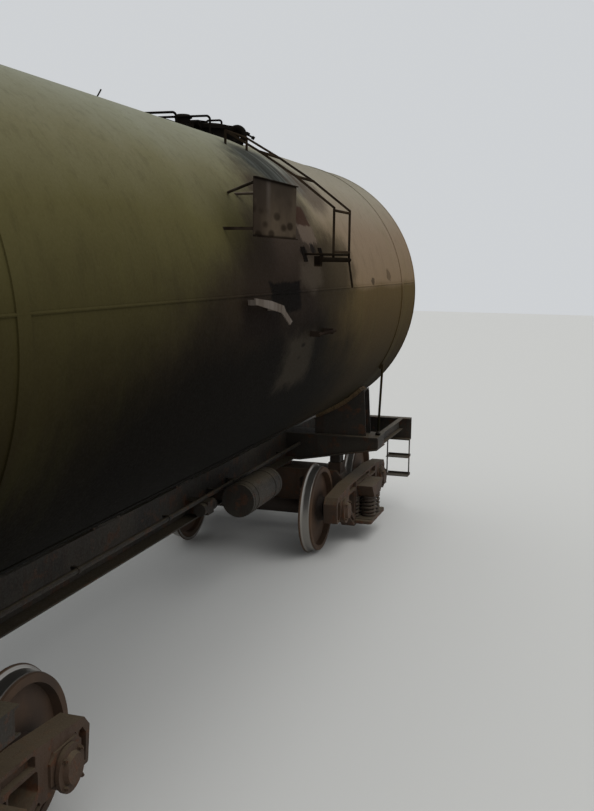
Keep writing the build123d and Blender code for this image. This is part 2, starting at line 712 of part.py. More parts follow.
def coupler(x):
    """An automatic knuckle coupler: a cast head with a large and a small claw, its neck and draft box."""
    face = COUPLER_FACE_X
    half = SHANK_SIZE / 2
    head_points = (  # along the car, across it
        (face - 340, -half - 15),
        (face - 235, -165),
        (face - 120, -212),
        (face, -212),
        (face + 28, -165),
        (face - 30, -112),
        (face - 112, -78),
        (face - 112, 28),
        (face - 55, 105),
        (face, 140),
        (face - 30, 196),
        (face - 130, 205),
        (face - 240, 150),
        (face - 340, half + 15),
    )
    middle = HEAD_HEIGHT / 2
    head = upright(head_points, COUPLER_Z - middle, COUPLER_Z + middle, 20)
    claw_points = ((face - 190, -205), (face - 8, -205), (face + 18, -168), (face - 40, -118), (face - 190, -118))
    claw = upright(claw_points, COUPLER_Z - middle - 45, COUPLER_Z + middle + 45, 15)
    lug = block((face - 360, face - 300), (-half, half), (COUPLER_Z, COUPLER_Z + middle + 30))
    lock_arm = rod((face - 190, 120, COUPLER_Z - 60), (face - 190, 235, COUPLER_Z - 60), 16)
    shank = block((FRAME_END - 560, face - 300), (-half, half), (COUPLER_Z - half - 20, COUPLER_Z + half + 10))
    fill = SILL_INNER_WIDTH / 2 - SEAT_GAP
    draft_box = block((FRAME_END - 1150, FRAME_END - 560), (-fill, fill), (COUPLER_Z - 120, COUPLER_Z + 90))
    piece = head + claw + lug + lock_arm + shank + draft_box
    return piece if x > 0 else Rot(0, 0, 180) * piece


def uncoupling_levers():
    """The bent release rods at the ends, with their brackets."""
    z = SILL_TOP - 40
    x = FRAME_END + 45
    side = END_BEAM_WIDTH / 2
    points = ((x + 120, 175, z), (x, 285, z), (x, side - 120, z), (x + 20, side - 40, z - 210))
    lever = tube_run(points, (60, 60), 11)
    for y in (330, side - 210):
        lever += block((FRAME_END, x + 14), (y - 8, y + 8), (z - 26, z + 26))
    return lever + Rot(0, 0, 180) * lever


def corner_steps():
    """A footstep and handrail at each of two opposite corners of the frame."""
    side = END_BEAM_WIDTH / 2
    inner = side - 300
    beam_low = SILL_TOP - END_BEAM_HEIGHT
    x_low = FRAME_END - END_BEAM_DEPTH - 45
    x_high = FRAME_END - 5
    step = Part()
    tread_table = (440, 690)  # heights of the two treads
    for z in tread_table:
        step += block((x_low, x_high), (-side, -inner), (z, z + 8))
        step += block((x_high - 6, x_high), (-side, -inner), (z, z + 32))
    for y in (-side, -inner - 8):
        step += block((x_low + 60, x_low + 110), (y, y + 8), (tread_table[0], beam_low))
    rail_x = FRAME_END + 70
    rail_z = SILL_TOP - 50
    points = (
        (FRAME_END, -side + 40, rail_z),
        (rail_x, -side + 40, rail_z),
        (rail_x, -inner - 20, rail_z),
        (FRAME_END, -inner - 20, rail_z),
    )
    step += tube_run(points, 30, 11)
    return step + Rot(0, 0, 180) * step


def drain_valve():
    """The bottom outlet with its open pipe end."""
    outer = DRAIN_BORE_R + 12
    top = TANK_BOTTOM + 20
    low = SILL_BOTTOM + 20
    body = Pos(0, 0, (top + low) / 2) * Cylinder(outer, top - low)
    skirt = Pos(0, 0, low + 9) * Cylinder(outer + 32, 18)
    valve = body + skirt
    valve = on_tank(valve)
    bore = Pos(0, 0, low + DRAIN_LENGTH / 2) * Cylinder(DRAIN_BORE_R, DRAIN_LENGTH)
    return valve - bore


def brake_cylinder():
    """The brake cylinder on its two brackets, with its pushrod and clevis."""
    back = CYLINDER_X - 280
    front = CYLINDER_X + 240
    cylinder = rod((back, CYLINDER_Y, GEAR_Z), (front, CYLINDER_Y, GEAR_Z), CYLINDER_R)
    cylinder += rod((front, CYLINDER_Y, GEAR_Z), (front + 22, CYLINDER_Y, GEAR_Z), CYLINDER_R + 27)
    cylinder += rod((front + 22, CYLINDER_Y, GEAR_Z), (LIVE_LEVER_X, CYLINDER_Y, GEAR_Z), 24)
    for x in (CYLINDER_X - 190, CYLINDER_X + 130):
        cylinder += block((x - 10, x + 10), (SILL_WEB_Y, CYLINDER_Y), (GEAR_Z - 40, GEAR_Z + 60))
    clevis_low = BRAKE_ROD_Z + LEVER_HALF_THICKNESS
    for x, reach in ((LIVE_LEVER_X, 20), (DEAD_LEVER_X, 20)):
        cylinder += block((x - reach, x + reach), (CYLINDER_Y - 20, CYLINDER_Y + 20), (clevis_low, GEAR_Z + 20))
    cylinder += block((DEAD_LEVER_X, back), (CYLINDER_Y - 20, CYLINDER_Y + 20), (GEAR_Z - 20, GEAR_Z + 20))
    return cylinder


def brake_rigging():
    """The levers beside the brake cylinder and the long rods to the two bogies."""
    gear = Part()
    low = BRAKE_ROD_Z - LEVER_HALF_THICKNESS
    high = BRAKE_ROD_Z + LEVER_HALF_THICKNESS
    for x in (LIVE_LEVER_X, DEAD_LEVER_X):
        points = ((x - 22, BRAKE_ROD_Y - 40), (x + 22, BRAKE_ROD_Y - 40), (x + 38, CYLINDER_Y - 190),
                  (x + 22, CYLINDER_Y + 40), (x - 22, CYLINDER_Y + 40), (x - 38, CYLINDER_Y - 190))
        gear += upright(points, low, high, 15)
    tie_y = CYLINDER_Y - 190
    gear += rod((DEAD_LEVER_X, tie_y, BRAKE_ROD_Z), (LIVE_LEVER_X, tie_y, BRAKE_ROD_Z), 16)
    stop = BOGIE_X - 300
    rod_table = (  # lever, direction of the bogie it pulls
        (DEAD_LEVER_X, -1),
        (LIVE_LEVER_X, 1),
    )
    for lever_x, side in rod_table:
        points = (
            (lever_x, BRAKE_ROD_Y, BRAKE_ROD_Z),
            (side * (stop - 900), BRAKE_ROD_Y, BRAKE_ROD_Z),
            (side * stop, 20, BRAKE_ROD_Z),
        )
        gear += tube_run(points, 400, 15)
    keeper_table = (-2250, 900, 2300)  # where a keeper hangs under the sill
    for x in keeper_table:
        outer = block((x - 20, x + 20), (BRAKE_ROD_Y - 42, BRAKE_ROD_Y + 42), (low - 30, SILL_BOTTOM))
        inner = block((x - 30, x + 30), (BRAKE_ROD_Y - 34, BRAKE_ROD_Y + 34), (low - 22, SILL_BOTTOM - 8))
        gear += outer - inner
    return gear


def parking_brake():
    """The handwheel of the parking brake at the side of the car, with its shaft, gearbox and bracket."""
    wheel_y = END_BEAM_WIDTH / 2 - 60
    x = HAND_WHEEL_X
    ring_points = ((HAND_WHEEL_R - 12, -12), (HAND_WHEEL_R + 4, -12), (HAND_WHEEL_R + 12, 0), (HAND_WHEEL_R + 4, 12),
                   (HAND_WHEEL_R - 12, 12))
    rim = revolve(make_face(Polyline(*[(r, y, 0) for r, y in ring_points], close=True)), Axis.Y, 360)
    wheel = rim + rod((0, 22, 0), (0, -40, 0), 34)
    for angle in (0, 60, 120):
        spoke = block((-HAND_WHEEL_R + 6, HAND_WHEEL_R - 6), (-6, 6), (-9, 9))
        wheel += Rot(0, angle, 0) * spoke
    gear = Pos(x, wheel_y, GEAR_Z) * wheel
    gear += rod((x, wheel_y, GEAR_Z), (x, SILL_EDGE_Y - 60, GEAR_Z), 15)
    gear += block((x - 60, x + 60), (SILL_WEB_Y, SILL_EDGE_Y), (GEAR_Z - 60, GEAR_Z + 50))
    arm_low = GEAR_Z - 70
    gear += block((x - 30, x + 30), (SILL_WEB_Y, wheel_y - 70), (arm_low, arm_low + 10))
    gear += block((x - 30, x + 30), (wheel_y - 80, wheel_y - 70), (arm_low, GEAR_Z + 30))
    return gear


def air_reservoir():
    """The air reservoir on its two brackets, with the control valve beside it."""
    tank = rod((RESERVOIR_X - 420, RESERVOIR_Y, GEAR_Z), (RESERVOIR_X + 420, RESERVOIR_Y, GEAR_Z), RESERVOIR_R)
    bracket_top = PIPE_Z - PIPE_R - MOVING_GAP
    for x in (RESERVOIR_X - 250, RESERVOIR_X + 250):
        tank += block((x - 10, x + 10), (RESERVOIR_Y, -SILL_WEB_Y), (GEAR_Z - 50, bracket_top))
    valve_x = RESERVOIR_X - 700
    valve = block((valve_x - 70, valve_x + 70), (-SILL_EDGE_Y - 100, -SILL_WEB_Y), (GEAR_Z - 70, bracket_top))
    for side in (-1, 1):
        cap_x = valve_x + side * 70
        valve += rod((cap_x, RESERVOIR_Y + 210, GEAR_Z - 10), (cap_x + side * 75, RESERVOIR_Y + 210, GEAR_Z - 10), 58)
    return tank + valve


def brake_pipe():
    """The train pipe along the sill, with an end cock at each end."""
    end = FRAME_END + 60
    pipe = rod((-end, PIPE_Y, PIPE_Z), (end, PIPE_Y, PIPE_Z), PIPE_R)
    for x in (-end, end):
        pipe += block((x - 32, x + 32), (PIPE_Y - 34, PIPE_Y + 34), (PIPE_Z - 34, PIPE_Z + 34))
    return pipe


def pipe_hole(x, reach):
    """Room for the brake pipe through a beam of the frame."""
    return rod((x - reach, PIPE_Y, PIPE_Z), (x + reach, PIPE_Y, PIPE_Z), PIPE_R + SEAT_GAP)


# Bogies

def wheel(x):
    """One wheel: hub, leaning web, rim with its tread, and flange."""
    back = BACK_TO_BACK / 2
    front = back + WHEEL_WIDTH
    hub_in = back - HUB_OFFSET
    hub_out = hub_in + HUB_WIDTH
    rim_r = TREAD_R - TYRE_DEPTH
    half_web = WEB_THICKNESS / 2
    hub_web = back + 76
    rim_web = back + 58
    root = back + FLANGE_THICKNESS
    section = (  # radius, distance from the middle of the car
        (AXLE_R, hub_in),
        (HUB_R, hub_in),
        (HUB_R + 18, hub_web - half_web - 12),
        (rim_r - 14, rim_web - half_web),
        (rim_r, back + 4),
        (FLANGE_R - 12, back),
        (FLANGE_R - 3, back + 4),
        (FLANGE_R, back + 12),
        (FLANGE_R - 3, back + 20),
        (FLANGE_R - 12, back + 25),
        (TREAD_R + 8, root),
        (TREAD_R + 2, root + 4),
        (TREAD_R, root + 12),
        (TREAD_R - 4, front - 24),
        (TREAD_R - 12, front),
        (rim_r, front),
        (rim_r - 14, rim_web + half_web),
        (HUB_R + 18, hub_web + half_web + 12),
        (HUB_R, hub_out),
        (AXLE_R, hub_out),
    )
    outline = Polyline(*[(r, y, 0) for r, y in section], close=True)
    return Pos(x, 0, AXLE_CENTRE_Z) * revolve(make_face(outline), Axis.Y, 360)


def wheels(x):
    """The two wheels of one axle."""
    return both_sides(wheel(x))


def axle(x):
    """One axle, thinner in the middle, with its journals."""
    seat = BACK_TO_BACK / 2 - HUB_OFFSET
    table = (  # radius, distance from the middle where it ends
        (AXLE_R - 6, seat),
        (AXLE_R, seat + HUB_WIDTH),
        (AXLE_R - 5, seat + HUB_WIDTH + 26),
        (JOURNAL_R, AXLE_LENGTH / 2),
    )
    points = [(0, 0)]
    start = 0
    for radius, stop in table:
        points += [(radius, start), (radius, stop)]
        start = stop
    points.append((0, AXLE_LENGTH / 2))
    outline = Polyline(*[(r, y, 0) for r, y in points], close=True)
    half = revolve(make_face(outline), Axis.Y, 360)
    return Pos(x, 0, AXLE_CENTRE_Z) * (half + mirror(half, about=Plane.XZ))


def axle_boxes(centre):
    """The cast boxes on a bogie's four journals: a round body and cover, a saddle and side guides."""
    inner = SIDE_FRAME_Y - BOX_REACH_IN
    outer = SIDE_FRAME_Y + BOX_REACH_OUT
    bore = JOURNAL_R + 0.1
    end = AXLE_LENGTH / 2 + 1
    section = (  # radius, distance from the middle of the car
        (0, inner),
        (BOX_R - 22, inner),
        (BOX_R, inner + 34),
        (BOX_R, outer - 50),
        (BOX_R + 10, outer - 50),
        (BOX_R + 10, outer - 28),
        (BOX_R - 30, outer - 28),
        (BOX_R - 42, outer),
        (0, outer),
    )
    body = revolve(make_face(Polyline(*[(r, y, 0) for r, y in section], close=True)), Axis.Y, 360)
    half = SIDE_FRAME_THICKNESS / 2 + SEAT_GAP
    wide = BOX_R + 8
    corner = 17
    saddle_points = (
        (-wide, -60),
        (wide, -60),
        (wide, BOX_RISE - corner),
        (wide - corner, BOX_RISE),
        (corner - wide, BOX_RISE),
        (-wide, BOX_RISE - corner),
    )
    saddle = along(saddle_points, half, SIDE_FRAME_Y)
    guides = Part()
    guide_points = ((-160, -40), (160, -40), (160, 90), (110, BOX_RISE - 8), (-110, BOX_RISE - 8), (-160, 90))
    for y in (SIDE_FRAME_Y - half - 7, SIDE_FRAME_Y + half + 7):
        guides += along(guide_points, 7, y)
    box = body + saddle + guides - rod((0, inner - 1, 0), (0, end, 0), bore)
    boxes = Part()
    for x in (centre - BOGIE_WHEELBASE / 2, centre + BOGIE_WHEELBASE / 2):
        boxes += both_sides(Pos(x, 0, AXLE_CENTRE_Z) * box)
    return boxes


def side_frames(centre):
    """The cast side frames: a bridge over each box, the spring window, lightening windows and pockets."""
    half = SIDE_FRAME_LENGTH / 2
    wheel_x = BOGIE_WHEELBASE / 2
    jaw = BOX_R + 8 + SEAT_GAP
    roof = AXLE_CENTRE_Z + BOX_RISE + SEAT_GAP
    toe = AXLE_CENTRE_Z - 100
    elbow = (wheel_x - jaw - 95, toe)
    heel = (SPRING_WINDOW_HALF + 70, SIDE_FRAME_BOTTOM)
    right = (  # along the car from the bogie's centre, height
        (wheel_x - 290, SIDE_FRAME_TOP),
        (wheel_x - 60, SIDE_FRAME_TOP - 22),
        (half - 60, SIDE_FRAME_CROWN),
        (half, SIDE_FRAME_CROWN - 70),
        (half - 25, toe),
        (wheel_x + jaw, toe),
        (wheel_x + jaw, roof),
        (wheel_x - jaw, roof),
        (wheel_x - jaw, toe),
        elbow,
        heel,
    )
    rim = 22
    window_edge = SPRING_WINDOW_HALF + 80
    rise = (elbow[1] - heel[1]) / (elbow[0] - heel[0])
    leg_x = wheel_x - jaw - 127
    band = 118  # height of the sloping lower arm
    arm_low = heel[1] + rise * (window_edge - heel[0]) + band
    arm_high = heel[1] + rise * (leg_x - heel[0]) + band
    light_window = ((window_edge, arm_low), (window_edge, 615), (leg_x, 615), (leg_x, arm_high))
    arm = 27
    pocket_table = (  # outlines of the pockets, along the car and height
        ((SPRING_WINDOW_HALF + 20, 637), (SPRING_WINDOW_HALF + 20, SIDE_FRAME_TOP - rim),
         (wheel_x - 310, SIDE_FRAME_TOP - rim), (wheel_x - 280, 700), (wheel_x - 280, 637)),
        ((wheel_x + jaw + rim, toe + rim), (wheel_x + jaw + rim, roof - 15), (half - 80, roof - 5),
         (half - 40, roof - 55), (half - 56, toe + rim)),
        ((heel[0] + 50, heel[1] + 60), (heel[0] + 20, heel[1] + 60 + arm), (elbow[0] - 30, elbow[1] + 8 + arm),
         (elbow[0] - 10, elbow[1] + 6)),
    )

    def turned(points, side):
        return [(centre + side * px, pz) for px, pz in points]

    outline = [(centre + px, pz) for px, pz in right] + [(centre - px, pz) for px, pz in reversed(right)]
    frame = along(outline, SIDE_FRAME_THICKNESS / 2, SIDE_FRAME_Y, 16)
    opening = (SPRING_WINDOW_HALF, SPRING_WINDOW_TOP)
    spring_window = ((-opening[0], SPRING_SEAT_Z), (-opening[0], opening[1]), opening, (opening[0], SPRING_SEAT_Z))
    frame -= along(turned(spring_window, 1), 200, SIDE_FRAME_Y, 20)
    crown_pocket = ((-300, 672), (-300, SIDE_FRAME_TOP - rim), (300, SIDE_FRAME_TOP - rim), (300, 672))
    pockets = [(crown_pocket, 1)] + [(points, side) for points in pocket_table for side in (-1, 1)]
    column = ((SPRING_WINDOW_HALF + 18, 300), (SPRING_WINDOW_HALF + 18, 600), (window_edge - 18, 600),
              (window_edge - 18, 300))
    outer_y = SIDE_FRAME_Y + SIDE_FRAME_THICKNESS / 2
    for side in (-1, 1):
        frame -= along(turned(light_window, side), 200, SIDE_FRAME_Y, 24)
        frame -= along(turned(column, side), POCKET_DEPTH, outer_y, 10)
        face_y = SIDE_FRAME_Y + side * SIDE_FRAME_THICKNESS / 2
        for points, turn in pockets:
            frame -= along(turned(points, turn), POCKET_DEPTH, face_y, 10)
    reach = SPRING_SEAT_REACH
    long = SPRING_WINDOW_HALF + 55
    low_x, high_x, low_y, high_y = centre - long, centre + long, SIDE_FRAME_Y - reach, SIDE_FRAME_Y + reach
    seat_points = ((low_x, low_y), (high_x, low_y), (high_x, high_y), (low_x, high_y))
    frame += upright(seat_points, SPRING_SEAT_Z - 36, SPRING_SEAT_Z, 40)
    low = SIDE_FRAME_BOTTOM
    rib = ((SIDE_FRAME_Y - 75, low), (SIDE_FRAME_Y - reach + 20, SPRING_SEAT_Z - 36),
           (SIDE_FRAME_Y + reach - 20, SPRING_SEAT_Z - 36), (SIDE_FRAME_Y + 75, low))
    for x in (-220, 0, 220):
        frame += across(rib, 8, centre + x)
    return both_sides(frame)


def bogie_bolster(centre):
    """The hollow-sided, fish-bellied bolster, with its centre bowl, side bearers and wedge faces."""
    neck = SIDE_FRAME_Y - SIDE_FRAME_THICKNESS / 2 - 40
    end_top = SPRING_WINDOW_TOP - MOVING_GAP
    belly = BOLSTER_BOTTOM - BOLSTER_BELLY
    right = (  # across the car, height
        (neck - 110, BOLSTER_TOP),
        (neck, end_top),
        (neck, BOLSTER_BOTTOM),
        (neck - 160, BOLSTER_BOTTOM),
        (280, belly),
    )
    side_view = right + tuple((-y, z) for y, z in reversed(right))
    wide = BOLSTER_WIDTH / 2
    narrow = BOLSTER_END_WIDTH / 2
    quarter = ((wide, 520), (narrow, neck - 20), (narrow, neck + 1))
    plan = [(centre + px, py) for px, py in quarter]
    plan += [(centre - px, py) for px, py in reversed(quarter)]
    plan += [(centre - px, -py) for px, py in quarter]
    plan += [(centre + px, -py) for px, py in reversed(quarter)]
    middle = across(side_view, wide, centre) & upright(plan, belly, BOLSTER_TOP)
    slot = across(((360, 505), (360, 690), (660, 690), (660, 560)), wide + 1, centre, 40)
    bolster = middle - both_sides(slot)
    end_section = [
        (centre - narrow, BOLSTER_BOTTOM),
        (centre + narrow, BOLSTER_BOTTOM),
        (centre + narrow + WEDGE_RUN, WEDGE_TOP),
        (centre + narrow + WEDGE_RUN, end_top),
        (centre - narrow - WEDGE_RUN, end_top),
        (centre - narrow - WEDGE_RUN, WEDGE_TOP),
    ]
    end_half = (BOLSTER_HALF_LENGTH - neck) / 2
    bolster += both_sides(along(end_section, end_half, neck + end_half))
    bowl_top = CENTRE_PLATE_Z + 20
    bowl = Pos(centre, 0, (BOLSTER_TOP + bowl_top) / 2) * Cylinder(CENTRE_PLATE_R + 28, bowl_top - BOLSTER_TOP)
    bowl -= Pos(centre, 0, CENTRE_PLATE_Z + 50 - SEAT_GAP) * Cylinder(CENTRE_PLATE_R + 2, 100)
    bearer_top = CENTRE_PLATE_Z + 30 - MOVING_GAP
    bearer_y = (SIDE_BEARER_Y - 75, SIDE_BEARER_Y + 75)
    bearer = block((centre - 110, centre + 110), bearer_y, (BOLSTER_TOP - 90, bearer_top))
    return bolster + bowl + both_sides(bearer)


def bogie_springs(centre):
    """The spring nests on their base plates, with the wedges that damp them. Each coil is one round block."""
    low = SPRING_SEAT_Z
    high = BOLSTER_BOTTOM
    reach_x = SPRING_PITCH + SPRING_R + 2
    reach_y = SPRING_ROW + SPRING_R + 2
    nest = block((-reach_x, reach_x), (-reach_y, reach_y), (low, low + 6))
    spring_table = (  # pitches along the car, rows across it
        (-0.5, -1), (0.5, -1), (-1, 0), (0, 0), (1, 0), (-0.5, 1), (0.5, 1),
    )
    for pitches, rows in spring_table:
        spring = Cylinder(SPRING_R, high - low)
        nest += Pos(pitches * SPRING_PITCH, rows * SPRING_ROW, (low + high) / 2) * spring
    narrow = BOLSTER_END_WIDTH / 2 + SEAT_GAP * 2
    column = SPRING_WINDOW_HALF - SEAT_GAP
    wedge_top = WEDGE_TOP - 10
    run = WEDGE_RUN * (wedge_top - high) / (WEDGE_TOP - high)
    for side in (-1, 1):
        wedge = (
            (side * narrow, high),
            (side * column, high),
            (side * column, wedge_top),
            (side * (narrow + run), wedge_top),
        )
        nest += along(wedge, 65)
    return both_sides(Pos(centre, SIDE_FRAME_Y, 0) * nest)


def brake_beams(centre):
    """The brake gear of a bogie: two trussed beams with their shoes and hangers, levers and a tie rod."""
    gear = Part()
    shoe_r = TREAD_R + MOVING_GAP
    shoe_y = BACK_TO_BACK / 2 + 87
    beam_r = FLANGE_R + MOVING_GAP + 40
    shoe_z = AXLE_CENTRE_Z - 60
    beam_z = AXLE_CENTRE_Z - 130
    reach = SIDE_FRAME_Y - SIDE_FRAME_THICKNESS / 2 - SEAT_GAP
    truss_depth = 118
    tie_z = BOLSTER_BOTTOM - BOLSTER_BELLY - 36
    for side in (-1, 1):
        wheel_x = centre + side * BOGIE_WHEELBASE / 2
        beam_x = wheel_x - side * beam_r
        apex_x = beam_x - side * truss_depth
        gear += rod((beam_x, -reach, beam_z), (beam_x, reach, beam_z), BRAKE_BEAM_R)
        gear += block(sorted((beam_x, apex_x)), (-26, 26), (beam_z - 18, beam_z + 18))
        span = sorted((wheel_x - side * (shoe_r - 60), wheel_x - side * (shoe_r + 60)))
        around = rod((wheel_x, 0, AXLE_CENTRE_Z), (wheel_x, 900, AXLE_CENTRE_Z), shoe_r + SHOE_THICKNESS)
        wheel_room = rod((wheel_x, 0, AXLE_CENTRE_Z), (wheel_x, 900, AXLE_CENTRE_Z), shoe_r)
        shoe = block(span, (shoe_y - 38, shoe_y + 38), (shoe_z - 160, shoe_z + 160)) & around
        truss = rod((beam_x, 640, beam_z), (apex_x, 15, beam_z), 14)
        hanger_z = AXLE_CENTRE_Z + 105
        hanger = rod((beam_x, shoe_y + 35, beam_z), (beam_x, shoe_y + 70, hanger_z), 12)
        hanger += rod((beam_x, shoe_y + 55, hanger_z), (beam_x, reach, hanger_z), 16)
        gear += both_sides(shoe - wheel_room + truss + hanger)
        lever_high = BRAKE_ROD_Z - 33
        lever_points = (
            (apex_x - 24, tie_z - 24),
            (apex_x + 24, tie_z - 24),
            (apex_x + 34, beam_z),
            (apex_x + side * 30 + 20, lever_high),
            (apex_x + side * 30 - 20, lever_high),
            (apex_x - 34, beam_z),
        )
        gear += along(lever_points, 10)
    lever_x = BOGIE_WHEELBASE / 2 - beam_r - truss_depth
    gear += rod((centre - lever_x, 0, tie_z), (centre + lever_x, 0, tie_z), 14)
    return gear


PIECES = {
    "tank_barrel": tank_barrel(),
    "hatch_neck": hatch_neck(),
    "hatch_lid": hatch_lid(),
    "hatch_clamps": hatch_clamps(),
    "relief_valve": relief_valve(),
    "top_platform": top_platform(),
    "platform_rails": grab_hoops(),
    "near_ladder": near_ladder(),
    "far_ladder": far_ladder(),
    "ladder_remains": ladder_remains(),
    "side_board": side_board(),
    "saddle_blocks": saddle_blocks(),
    "tank_feet": tank_feet(),
    "centre_sill": centre_sill(),
    "side_sills": side_sills(),
    "uncoupling_levers": uncoupling_levers(),
    "corner_steps": corner_steps(),
    "drain_valve": drain_valve(),
    "brake_cylinder": brake_cylinder(),
    "brake_rigging": brake_rigging(),
    "parking_brake": parking_brake(),
    "air_reservoir": air_reservoir(),
    "brake_pipe": brake_pipe(),
}

ENDS = (("front", -1), ("rear", 1))  # name, side of the middle along X
for end_name, end_side in ENDS:
    middle_x = end_side * BOGIE_X
    PIECES[f"{end_name}_tank_strap"] = tank_strap(middle_x)
    PIECES[f"{end_name}_tank_saddle"] = tank_saddle(middle_x)
    PIECES[f"{end_name}_bolster_beam"] = bolster_beam(middle_x)
    PIECES[f"{end_name}_end_beam"] = end_beam(end_side * FRAME_END)
    PIECES[f"{end_name}_coupler"] = coupler(end_side * COUPLER_FACE_X)
    PIECES[f"{end_name}_bogie_side_frames"] = side_frames(middle_x)
    PIECES[f"{end_name}_bogie_bolster"] = bogie_bolster(middle_x)
    PIECES[f"{end_name}_bogie_springs"] = bogie_springs(middle_x)
    PIECES[f"{end_name}_bogie_axle_boxes"] = axle_boxes(middle_x)
    PIECES[f"{end_name}_bogie_brake_beams"] = brake_beams(middle_x)
    for axle_name, axle_side in (("outer", end_side), ("inner", -end_side)):
        axle_x = middle_x + axle_side * BOGIE_WHEELBASE / 2
        PIECES[f"{end_name}_{axle_name}_wheels"] = wheels(axle_x)
        PIECES[f"{end_name}_{axle_name}_axle"] = axle(axle_x)

os.makedirs("parts", exist_ok=True)
for name, piece in PIECES.items():
    export_step(piece, f"parts/{name}.step")
    print(name, len(piece.solids()), "solids")
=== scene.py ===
# %% [markdown]
# A railway tank car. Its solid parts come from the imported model, which this script loads as a fixed
# frame, in metres, with X along the car and Z up. The lesson adds what a maker leaves to the end:
# weld beads, bolts, springs and trim, a weathered finish for every surface, and the light and camera.

# %% Load the frame
import bmesh
import bpy
import json
from math import cos, pi, radians, sin
from mathutils import Matrix, Vector


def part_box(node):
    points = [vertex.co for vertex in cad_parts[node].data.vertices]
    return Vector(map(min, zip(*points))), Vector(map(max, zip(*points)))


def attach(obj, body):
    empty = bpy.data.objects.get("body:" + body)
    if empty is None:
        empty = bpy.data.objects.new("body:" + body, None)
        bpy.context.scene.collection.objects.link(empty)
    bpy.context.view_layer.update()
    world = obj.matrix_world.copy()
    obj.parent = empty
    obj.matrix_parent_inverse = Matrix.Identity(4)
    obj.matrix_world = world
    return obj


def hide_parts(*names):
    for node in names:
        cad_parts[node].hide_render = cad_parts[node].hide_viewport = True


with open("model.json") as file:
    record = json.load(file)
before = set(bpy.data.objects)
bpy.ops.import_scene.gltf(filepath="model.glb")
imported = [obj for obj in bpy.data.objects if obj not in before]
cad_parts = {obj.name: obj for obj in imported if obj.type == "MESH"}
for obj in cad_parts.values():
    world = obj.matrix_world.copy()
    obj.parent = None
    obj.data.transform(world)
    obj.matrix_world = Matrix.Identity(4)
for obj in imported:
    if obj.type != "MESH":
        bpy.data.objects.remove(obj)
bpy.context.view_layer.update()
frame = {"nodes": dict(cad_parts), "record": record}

# %% [markdown]
# The photograph is upright, 594 by 811 pixels. The camera stands beside the near end of the car, a
# little above the middle of the tank, and looks along it. Its place was worked out from the outline
# of the tank, so the values are a position in metres, three angles and a focal length in pixels.

# %% Camera
PHOTO_HEIGHT = 811
SENSOR = 36.0
FOCAL_PIXELS = 988.3
CAMERA_AT = Vector((-7.408, -3.766, 3.232))
CAMERA_YAW = radians(17.262)
CAMERA_PITCH = radians(8.284)
CAMERA_ROLL = radians(-0.773)


def camera_axes(yaw, pitch, roll):
    """The camera's right, down and forward directions."""
    forward = Vector((cos(pitch) * cos(yaw), cos(pitch) * sin(yaw), -sin(pitch)))
    level = Vector((sin(yaw), -cos(yaw), 0))
    plumb = forward.cross(level)
    right = cos(roll) * level + sin(roll) * plumb
    down = cos(roll) * plumb - sin(roll) * level
    return right, down, forward


lens = bpy.data.cameras.new("camera")
lens.sensor_fit = "VERTICAL"
lens.sensor_height = SENSOR
lens.lens = FOCAL_PIXELS / PHOTO_HEIGHT * SENSOR
lens.clip_end = 500
camera = bpy.data.objects.new("camera", lens)
right, down, forward = camera_axes(CAMERA_YAW, CAMERA_PITCH, CAMERA_ROLL)
turn = Matrix((right, -down, -forward)).transposed()
camera.matrix_world = Matrix.Translation(CAMERA_AT) @ turn.to_4x4()
bpy.context.scene.collection.objects.link(camera)
bpy.context.scene.camera = camera
print("lens", round(lens.lens, 2), "mm")

# %% [markdown]
# Colours are written as the eye sees them on a screen, from 0 to 255, and turned into the linear
# values that the renderer works in.

# %% Colours


def colour(red, green, blue):
    """A linear colour with alpha from three screen values."""
    def linear(value):
        share = value / 255
        return share / 12.92 if share <= 0.04045 else ((share + 0.055) / 1.055) ** 2.4
    return (linear(red), linear(green), linear(blue), 1.0)


print("a screen grey of 128 is", round(colour(128, 128, 128)[0], 3), "in linear light")

# %% [markdown]
# A shader is a small tree of nodes. These helpers add one node each, so that a finish reads as a
# list of steps. A value may be a number, or the output of an earlier node. The first three add any
# node, give the point that is being shaded, and move or stretch that point.

# %% Nodes and points


def put(tree, kind, inputs=None, **settings):
    """Adds a node with its settings and its inputs."""
    made = tree.nodes.new(kind)
    for name, value in settings.items():
        setattr(made, name, value)
    for name, value in (inputs or {}).items():
        if isinstance(value, bpy.types.NodeSocket):
            tree.links.new(value, made.inputs[name])
        else:
            made.inputs[name].default_value = value
    return made


def place(tree):
    """The point on the piece, in metres."""
    return put(tree, "ShaderNodeTexCoord").outputs["Object"]


def stretched(tree, vector, scale, shift=(0, 0, 0)):
    """The point moved and then stretched, to centre or draw out a pattern."""
    moved = put(tree, "ShaderNodeVectorMath", {0: vector, 1: shift}, operation="SUBTRACT").outputs[0]
    return put(tree, "ShaderNodeVectorMath", {0: moved, 1: scale}, operation="MULTIPLY").outputs[0]


def split(tree, vector):
    """The three parts of a point or direction."""
    return put(tree, "ShaderNodeSeparateXYZ", {0: vector}).outputs


# %% [markdown]
# Dirt needs two patterns: clouds that fade into each other, and round cells for spots. Arithmetic and
# soft steps then turn a pattern into a mask, which is 1 where a stain lies and 0 where none is.

# %% Patterns and arithmetic


def noise(tree, vector, scale, detail=5, roughness=0.55, distortion=0.0):
    """Cloudy noise between 0 and 1."""
    values = {"Vector": vector, "Scale": scale, "Detail": detail}
    values.update({"Roughness": roughness, "Distortion": distortion})
    return put(tree, "ShaderNodeTexNoise", values).outputs["Fac"]


def cells(tree, vector, scale):
    """The distance to the nearest of many scattered points."""
    return put(tree, "ShaderNodeTexVoronoi", {"Vector": vector, "Scale": scale}).outputs["Distance"]


